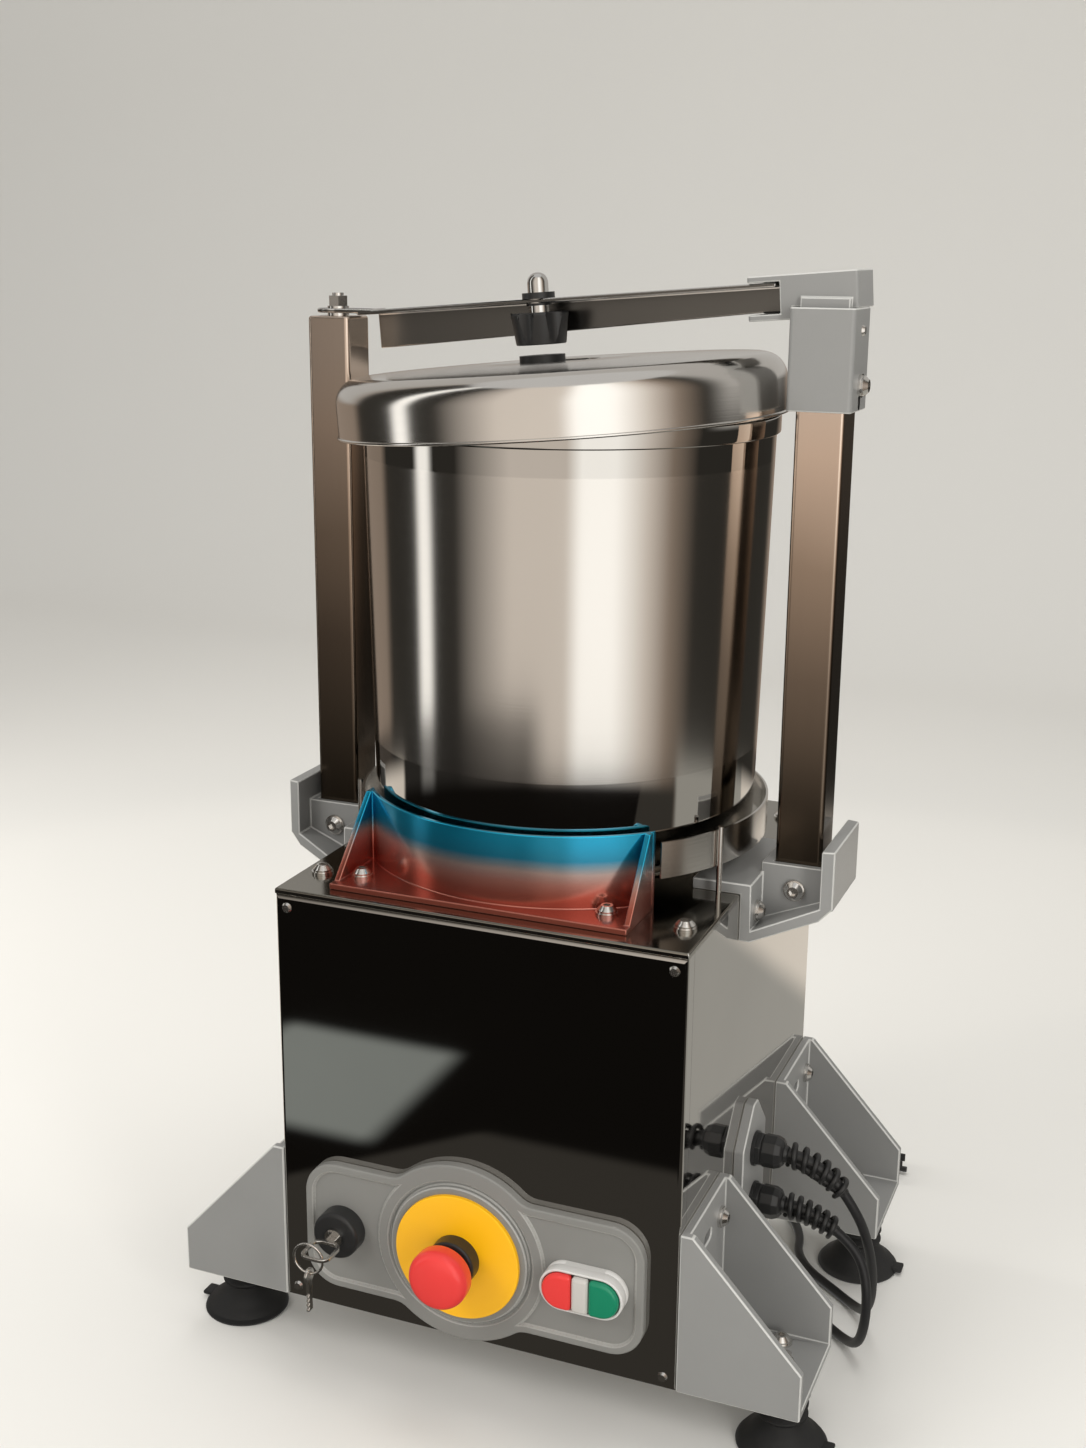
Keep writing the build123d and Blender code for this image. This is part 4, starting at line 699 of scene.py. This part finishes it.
def makeGlands(form):
    masters = []
    for corners, steps, smooth, broken in form["parts"]:
        master = turned("glandMaster", [*corners, corners[0]], steps, smooth)
        if broken:
            roundEdges(master, form["edge"], 2)
            applyModifiers(master)
        master.location = mm(0, 0, -form["reach"])
        masters.append(master)
    glands = []
    for level, bendRadius, bendAngle in form["glands"]:
        relief = makeRelief(bendRadius, bendAngle, reliefForm)
        gland = joined("gland", [relief] + [twin(master, "glandPart") for master in masters])
        gland.rotation_euler = (0, math.radians(90), 0)
        gland.location = atAxis(form["face"] + form["reach"], form["depth"], level)
        fixPlace(gland)
        glands.append(gland)
    for master in masters:
        bpy.data.objects.remove(master)
    return adopt(joined("spiralGlands", glands), "cable_glands")


# Castings and plates: the CAD shape with its sharp edges broken, for the light line along them, which the
# bevel faces also carry as a painted highlight in a second material slot
edgeRounds = {
    "foot_bracket_front_left": 1.0, "foot_bracket_front_right": 1.0, "foot_bracket_rear_left": 1.0,
    "foot_bracket_rear_right": 1.0, "post_bracket_left": 0.9, "post_bracket_right": 0.9, "entry_plate": 0.9,
    "catch_sleeve": 0.8, "bar_catch": 0.8, "control_plate": 1.0, "fence_guard": 0.6, "crossbar": 0.9,
    "top_plate": 0.5, "key": 0.35, "spare_key": 0.35, "pressure_knob": 0.6,
}


def softEdged(name, width):
    words = name.split("_")
    piece = nodeTwin(name, words[0] + "".join(word.capitalize() for word in words[1:]))
    bpy.ops.mesh.customdata_custom_splitnormals_clear()
    openWelded()
    bpy.ops.mesh.dissolve_limited(angle_limit=math.radians(0.6))
    bpy.ops.object.mode_set(mode="OBJECT")
    edges = roundEdges(piece, width, 2, 35)
    edges.use_clamp_overlap = False
    piece.data.materials.clear()
    for slot in range(2):
        piece.data.materials.append(None)
    # The bevel faces take the second slot, which wears a lighter painted edge highlight where one is listed
    edges.material = 1
    facing = piece.modifiers.new("facing", "WEIGHTED_NORMAL")
    facing.keep_sharp = True
    bpy.ops.object.shade_smooth_by_angle(angle=math.radians(50))
    applyModifiers(piece)
    return adopt(piece, name)


# Start and stop: thin oval bezel with one well, two domed caps and a lens a third of the oval wide
buttonForm = {
    "spot": (84, 117), "bezel": (58, 30), "bezelFlat": 0.1, "rim": 1.9, "rimRound": 0.7, "face": -178,
    "back": -170, "floor": 1.4, "barrelStart": 0.5, "capEnd": 26.6, "capHeight": 25.4, "capFlat": 0.15,
    "lensHalf": 5.8, "gap": 0.4, "proud": 3.4, "sunk": 3, "dome": 2.6,
}


# A block between two x places, with the ends listed rounded as seen from the front
def roundedBlock(name, first, last, height, front, back, ends, radius):
    spotX, spotZ = buttonForm["spot"]
    bpy.ops.object.select_all(action="DESELECT")
    centre = atAxis(spotX + (first + last) / 2, (front + back) / 2, spotZ)
    bpy.ops.mesh.primitive_cube_add(size=1, location=centre, scale=mm(last - first, back - front, height))
    block = bpy.context.object
    block.name = name
    fixPlace(block)
    if ends:
        sides = [atAxis(spotX + side, 0, 0).x for side in ends]
        pick(block, "EDGE", lambda ends: abs(ends[0].y - ends[1].y) > near and any(
            all(abs(end.x - side) < near for end in ends) for side in sides))
        bpy.ops.mesh.bevel(offset=radius / 1000, segments=14, affect="EDGES")
        bpy.ops.object.mode_set(mode="OBJECT")
    return block


def softened(piece, width, segments):
    roundEdges(piece, width, segments, 40)
    applyModifiers(piece)
    bpy.ops.object.shade_smooth_by_angle(angle=math.radians(50))
    return piece


def makeCap(node, name, first, last, ends):
    form = buttonForm
    cap = roundedBlock(name, first, last, form["capHeight"], form["face"] - form["proud"],
                       form["face"] + form["sunk"], ends, form["capHeight"] / 2 - form["capFlat"])
    return adopt(softened(cap, form["dome"], 4), node)


def makeBezel(form):
    wide, tall = form["bezel"]
    ends = (-wide / 2, wide / 2)
    bezel = roundedBlock("ovalBezel", *ends, tall, form["face"], form["back"], ends,
                         tall / 2 - form["bezelFlat"])
    front = atAxis(0, form["face"], 0).y
    pick(bezel, "FACE", lambda corners: all(abs(corner.y - front) < near for corner in corners))
    bpy.ops.mesh.inset(thickness=form["rim"] / 1000, depth=0)
    well = form["back"] - form["face"] - form["floor"]
    bpy.ops.mesh.extrude_region_move(TRANSFORM_OT_translate={"value": mm(0, well, 0)})
    bpy.ops.object.mode_set(mode="OBJECT")
    softened(bezel, form["rimRound"], 3)
    barrel = nodeTwin("button_bezel", "bezelBarrel")
    openWelded()
    bpy.ops.mesh.select_all(action="SELECT")
    bpy.ops.mesh.bisect(plane_co=atAxis(0, form["back"] - form["barrelStart"], 0), plane_no=(0, 1, 0),
                        clear_inner=True, use_fill=True)
    bpy.ops.object.mode_set(mode="OBJECT")
    return adopt(joined("ovalBezel", [bezel, barrel]), "button_bezel")


standIns = {
    "drum": makeDrum(drumForm),
    "lid": makeLid(lidForm),
    "estop_head": makeHead(headForm),
    "rubber_feet": makeFeet(footForm),
    "cable_glands": makeGlands(glandForm),
    "button_bezel": makeBezel(buttonForm),
}
capEnd, lensHalf = buttonForm["capEnd"], buttonForm["lensHalf"]
capStart = lensHalf + buttonForm["gap"]
standIns["stop_button"] = makeCap("stop_button", "stopCap", -capEnd, -capStart, (-capEnd,))
standIns["start_button"] = makeCap("start_button", "startCap", capStart, capEnd, (capEnd,))
standIns["pilot_lens"] = makeCap("pilot_lens", "lensCap", -lensHalf, lensHalf, ())
for name, width in edgeRounds.items():
    standIns[name] = softEdged(name, width)
print("pieces modelled:", len(standIns))

# Brushed and polished metals; grain is how finely the brushing is drawn out along x, y and z
steels = {
    "panelMirrorSteel": dict(colour=(0.60, 0.585, 0.56), rough=0.045, grain=(3, 3, 3), depth=0.0001,
                             spread=0.02),
    "barSatinSteel": dict(colour=(0.17, 0.165, 0.155), rough=0.26, grain=(6, 900, 900)),
    "topPlateSteel": dict(colour=(0.34, 0.325, 0.29), rough=0.12, grain=(6, 900, 900)),
    # Near-white colour for the broken edges of the crossbar and top plate: a painted edge highlight
    "steelEdgeHighlight": dict(colour=(0.80, 0.79, 0.77), rough=0.22, grain=(300, 300, 300)),
    "bandSteel": dict(colour=(0.62, 0.60, 0.57), rough=0.18, grain=(8, 8, 900)),
    "zincSteel": dict(colour=(0.80, 0.785, 0.76), rough=0.2, grain=(300, 300, 300)),
    "brightNickel": dict(colour=(0.72, 0.71, 0.69), rough=0.1, grain=(200, 200, 200)),
    "keyNickel": dict(colour=(0.86, 0.84, 0.81), rough=0.24, grain=(300, 300, 300)),
    "lidSteel": dict(colour=(0.78, 0.755, 0.72), rough=0.15, grain=(6, 6, 900)),
}


def steelFinish(name, colour, rough, grain, depth=0.00004, spread=0.05):
    finish = Finish(name)
    finish.fixed(Metallic=1)
    brushing = finish.noise(1, 4, grain)
    cloud = finish.noise(9)
    tone = finish.mix(cloud, colour, [channel * 0.86 for channel in colour])
    finish.surface(Base_Color=tone, Roughness=rough + (brushing - 0.5) * spread + (cloud - 0.5) * spread,
                   Normal=finish.bump(brushing, depth, 0.35))
    return finish.material


# Posts: brushed lengthways; their colour carries painted reflection and shade, warm and bright at the top and
# painted shade darkening towards the foot
postPaintedShade = {
    "heights": (0.36, 0.74),
    # Colour ramp up the post: painted shade at the foot rising to a painted warm reflection at the top
    "stops": ((0.0, (0.10, 0.08, 0.06)), (0.3, (0.17, 0.13, 0.10)), (0.6, (0.34, 0.26, 0.20)),
              (0.85, (0.66, 0.52, 0.42)), (1.0, (0.74, 0.62, 0.53))),
    "grain": (900, 900, 6),
    "rough": 0.16,
}


def postShadeFinish(look):
    finish = Finish("postSteelPaintedShade")
    finish.fixed(Metallic=1)
    brushing = finish.noise(1, 4, look["grain"])
    height = finish.axis("Z") + (finish.noise(6, 2) - 0.5) * 0.05
    finish.surface(Base_Color=finish.tint(finish.rise(height, look["heights"]), *look["stops"]),
                   Roughness=look["rough"] + brushing * 0.06, Normal=finish.bump(brushing, 0.00003, 0.3))
    return finish.material


# Pressure post: bright steel below the lid, black cap from this far up the leaning axis
pressureLook = {"cap": (0.2489, 0.2491), "steel": (0.70, 0.69, 0.66), "black": (0.012, 0.012, 0.012)}


def pressureFinish(look):
    finish = Finish("pressurePostSteel")
    lean = math.radians(lidForm["lean"])
    upward = (finish.axis("Z") - lidForm["ball"] / 1000) * math.cos(lean) + finish.axis("X") * math.sin(lean)
    above = finish.rise(upward, look["cap"])
    finish.surface(Base_Color=finish.mix(above, look["steel"], look["black"]), Metallic=1 - above,
                   Roughness=0.12 + above * 0.3 + finish.noise(60) * 0.04)
    return finish.material


# Drum wall: mirror bands at the foot and under the lid, satin between them
drumLook = {
    "satinStart": (0.4429, 0.4441), "satinEnd": (0.6374, 0.6386), "mirror": (0.58, 0.565, 0.54),
    "satin": (0.68, 0.66, 0.63), "clouds": (0.56, 0.53, 0.49), "grain": (6, 6, 1500),
}


def drumFinish(look):
    finish = Finish("drumSteel")
    finish.fixed(Metallic=1)
    height = finish.axis("Z")
    satin = finish.rise(height, look["satinStart"]) * finish.fall(height, look["satinEnd"])
    brushing = finish.noise(1, 4, look["grain"])
    tone = finish.mix(satin, look["mirror"], look["satin"])
    tone = finish.mix(finish.noise(7) * 0.3, tone, look["clouds"])
    finish.surface(Base_Color=tone, Roughness=0.035 + satin * (0.085 + brushing * 0.03),
                   Normal=finish.bump(brushing * satin, 0.00002, 0.2))
    return finish.material


# Paint, plastic, rubber and stone; pebble is how fine the skin is and depth how deep, in metres
paints = {
    "castGreyPaint": dict(colour=(0.25, 0.25, 0.243), rough=0.4, pebble=500, depth=0.00008, coat=0.15),
    # Lighter colour for the broken edges of the castings: a painted edge highlight
    "castEdgeHighlight": dict(colour=(0.50, 0.50, 0.48), rough=0.3, pebble=500, depth=0.00005, coat=0.3),
    "plateGreyPlastic": dict(colour=(0.215, 0.213, 0.20), rough=0.36, pebble=900, depth=0.00005, coat=0.1),
    # Lighter colour for the broken edges of the control plate: a painted edge highlight
    "plateEdgeHighlight": dict(colour=(0.33, 0.325, 0.305), rough=0.28, pebble=900, depth=0.00003, coat=0.3),
    "blackPlastic": dict(colour=(0.018, 0.018, 0.018), rough=0.36, pebble=900, depth=0.00004),
    "redPlastic": dict(colour=(0.74, 0.04, 0.036), rough=0.32, pebble=700, depth=0.00002, coat=0.3,
                       worn=0.04),
    "greenPlastic": dict(colour=(0.003, 0.205, 0.105), rough=0.3, pebble=700, depth=0.00002, coat=0.3,
                         worn=0.04),
    "yellowLegend": dict(colour=(0.93, 0.48, 0.0), rough=0.5, pebble=700, depth=0.00002, worn=0.03),
    "lensWhite": dict(colour=(0.52, 0.50, 0.47), rough=0.2, pebble=700, depth=0.00001, coat=0.5, worn=0.03),
    "bezelGrey": dict(colour=(0.62, 0.61, 0.59), rough=0.3, pebble=700, depth=0.00002, coat=0.3, worn=0.05),
    "footRubber": dict(colour=(0.014, 0.014, 0.014), rough=0.62, pebble=400, depth=0.0001),
    "cordJacket": dict(colour=(0.012, 0.012, 0.013), rough=0.45, pebble=700, depth=0.00004),
    "graniteStone": dict(colour=(0.19, 0.185, 0.18), rough=0.55, pebble=260, depth=0.0001, worn=0.4),
    "motorEnamel": dict(colour=(0.09, 0.1, 0.11), rough=0.4, pebble=500, depth=0.00006),
    "scraperPlastic": dict(colour=(0.78, 0.77, 0.74), rough=0.45, pebble=500, depth=0.00003),
}


def paintFinish(name, colour, rough, pebble, depth, coat=0.0, worn=0.08):
    finish = Finish(name)
    finish.fixed(Coat_Weight=coat, Coat_Roughness=0.15)
    skin = finish.noise(pebble, 2)
    darker = [channel * (1 - worn) for channel in colour]
    lighter = [min(1, channel * (1 + worn)) for channel in colour]
    finish.surface(Base_Color=finish.mix(finish.noise(14, 4), darker, lighter),
                   Roughness=rough + (skin - 0.5) * 0.08, Normal=finish.bump(skin, depth, 0.5))
    return finish.material


# Fence colour by height: brick red foot, pale rose middle, blue band under the edge; the broken edges take
# lighter colours, a painted edge highlight
fenceLook = {
    "heights": (0.358, 0.411),
    "fenceColours": (
        (0.0, (0.42, 0.11, 0.075)), (0.14, (0.48, 0.13, 0.09)), (0.34, (0.55, 0.24, 0.19)),
        (0.54, (0.52, 0.38, 0.34)), (0.66, (0.24, 0.33, 0.38)), (0.78, (0.02, 0.26, 0.42)),
        (1.0, (0.01, 0.32, 0.52))),
    # Lighter copy of the fence colours for the broken edges: a painted edge highlight
    "fenceEdge": (
        (0.0, (0.60, 0.22, 0.17)), (0.14, (0.62, 0.24, 0.18)), (0.4, (0.68, 0.40, 0.35)),
        (0.6, (0.30, 0.50, 0.60)), (0.8, (0.03, 0.45, 0.70)), (1.0, (0.02, 0.50, 0.78))),
}


def fenceFinish(name, look):
    finish = Finish(name)
    finish.fixed(Metallic=0.85, Coat_Weight=0.3, Coat_Roughness=0.08)
    height = finish.axis("Z") + (finish.noise(14) - 0.5) * 0.005
    finish.surface(Base_Color=finish.tint(finish.rise(height, look["heights"]), *look[name]),
                   Roughness=0.15 + finish.noise(60) * 0.07)
    return finish.material


finishes = {name: steelFinish(name, **look) for name, look in steels.items()}
finishes.update({name: paintFinish(name, **look) for name, look in paints.items()})
finishes["postSteelPaintedShade"] = postShadeFinish(postPaintedShade)
finishes["pressurePostSteel"] = pressureFinish(pressureLook)
finishes["drumSteel"] = drumFinish(drumLook)
for name in ("fenceColours", "fenceEdge"):
    finishes[name] = fenceFinish(name, fenceLook)

# What wears each finish, and the lighter finish of the broken edges where it differs: a painted edge
# highlight
wearers = {
    "panelMirrorSteel": ("front_panel", "side_shell"),
    "postSteelPaintedShade": ("post_left", "post_right"),
    "barSatinSteel": ("crossbar",),
    "topPlateSteel": ("top_plate",),
    "bandSteel": ("guard_band",),
    "drumSteel": ("drum",),
    "lidSteel": ("lid",),
    "zincSteel": ("fasteners", "pivot_bolt", "drum_shaft", "shaft_bearings", "floor_plate", "stone_yoke",
                  "motor_pulley", "drum_pulley"),
    "brightNickel": ("tension_screw", "lock_cylinder", "aux_connector"),
    "keyNickel": ("key", "key_ring", "spare_key"),
    "pressurePostSteel": ("pressure_post",),
    "castGreyPaint": ("foot_bracket_front_left", "foot_bracket_front_right", "foot_bracket_rear_left",
                      "foot_bracket_rear_right", "post_bracket_left", "post_bracket_right", "entry_plate",
                      "catch_sleeve", "bar_catch", "bearing_housing"),
    "plateGreyPlastic": ("control_plate",),
    "blackPlastic": ("pressure_knob", "screw_bush", "key_switch", "estop_body", "estop_plunger",
                     "cable_glands", "mains_plug"),
    "bezelGrey": ("button_bezel",),
    "redPlastic": ("estop_head", "stop_button"),
    "greenPlastic": ("start_button",),
    "yellowLegend": ("estop_disc",),
    "lensWhite": ("pilot_lens",),
    "footRubber": ("rubber_feet", "drive_belt"),
    "graniteStone": ("granite_base", "roller_stone_left", "roller_stone_right"),
    "motorEnamel": ("motor",),
    "scraperPlastic": ("scraper",),
    "fenceColours": ("fence_guard",),
}
edgeHighlightFinishes = {
    "barSatinSteel": "steelEdgeHighlight", "topPlateSteel": "steelEdgeHighlight", "castGreyPaint": "castEdgeHighlight",
    "plateGreyPlastic": "plateEdgeHighlight", "fenceColours": "fenceEdge",
}


def dress(name, finish, edge):
    mesh = standIns.get(name, nodes[name]).data
    if name in edgeRounds:
        mesh.materials[0] = finish
        mesh.materials[1] = edge
    else:
        mesh.materials.clear()
        mesh.materials.append(finish)


for finishName, names in wearers.items():
    for name in names:
        dress(name, finishes[finishName], finishes[edgeHighlightFinishes.get(finishName, finishName)])
for piece in leadPieces:
    piece.data.materials.append(finishes["cordJacket"])
print("finishes set")

bpy.context.view_layer.update()
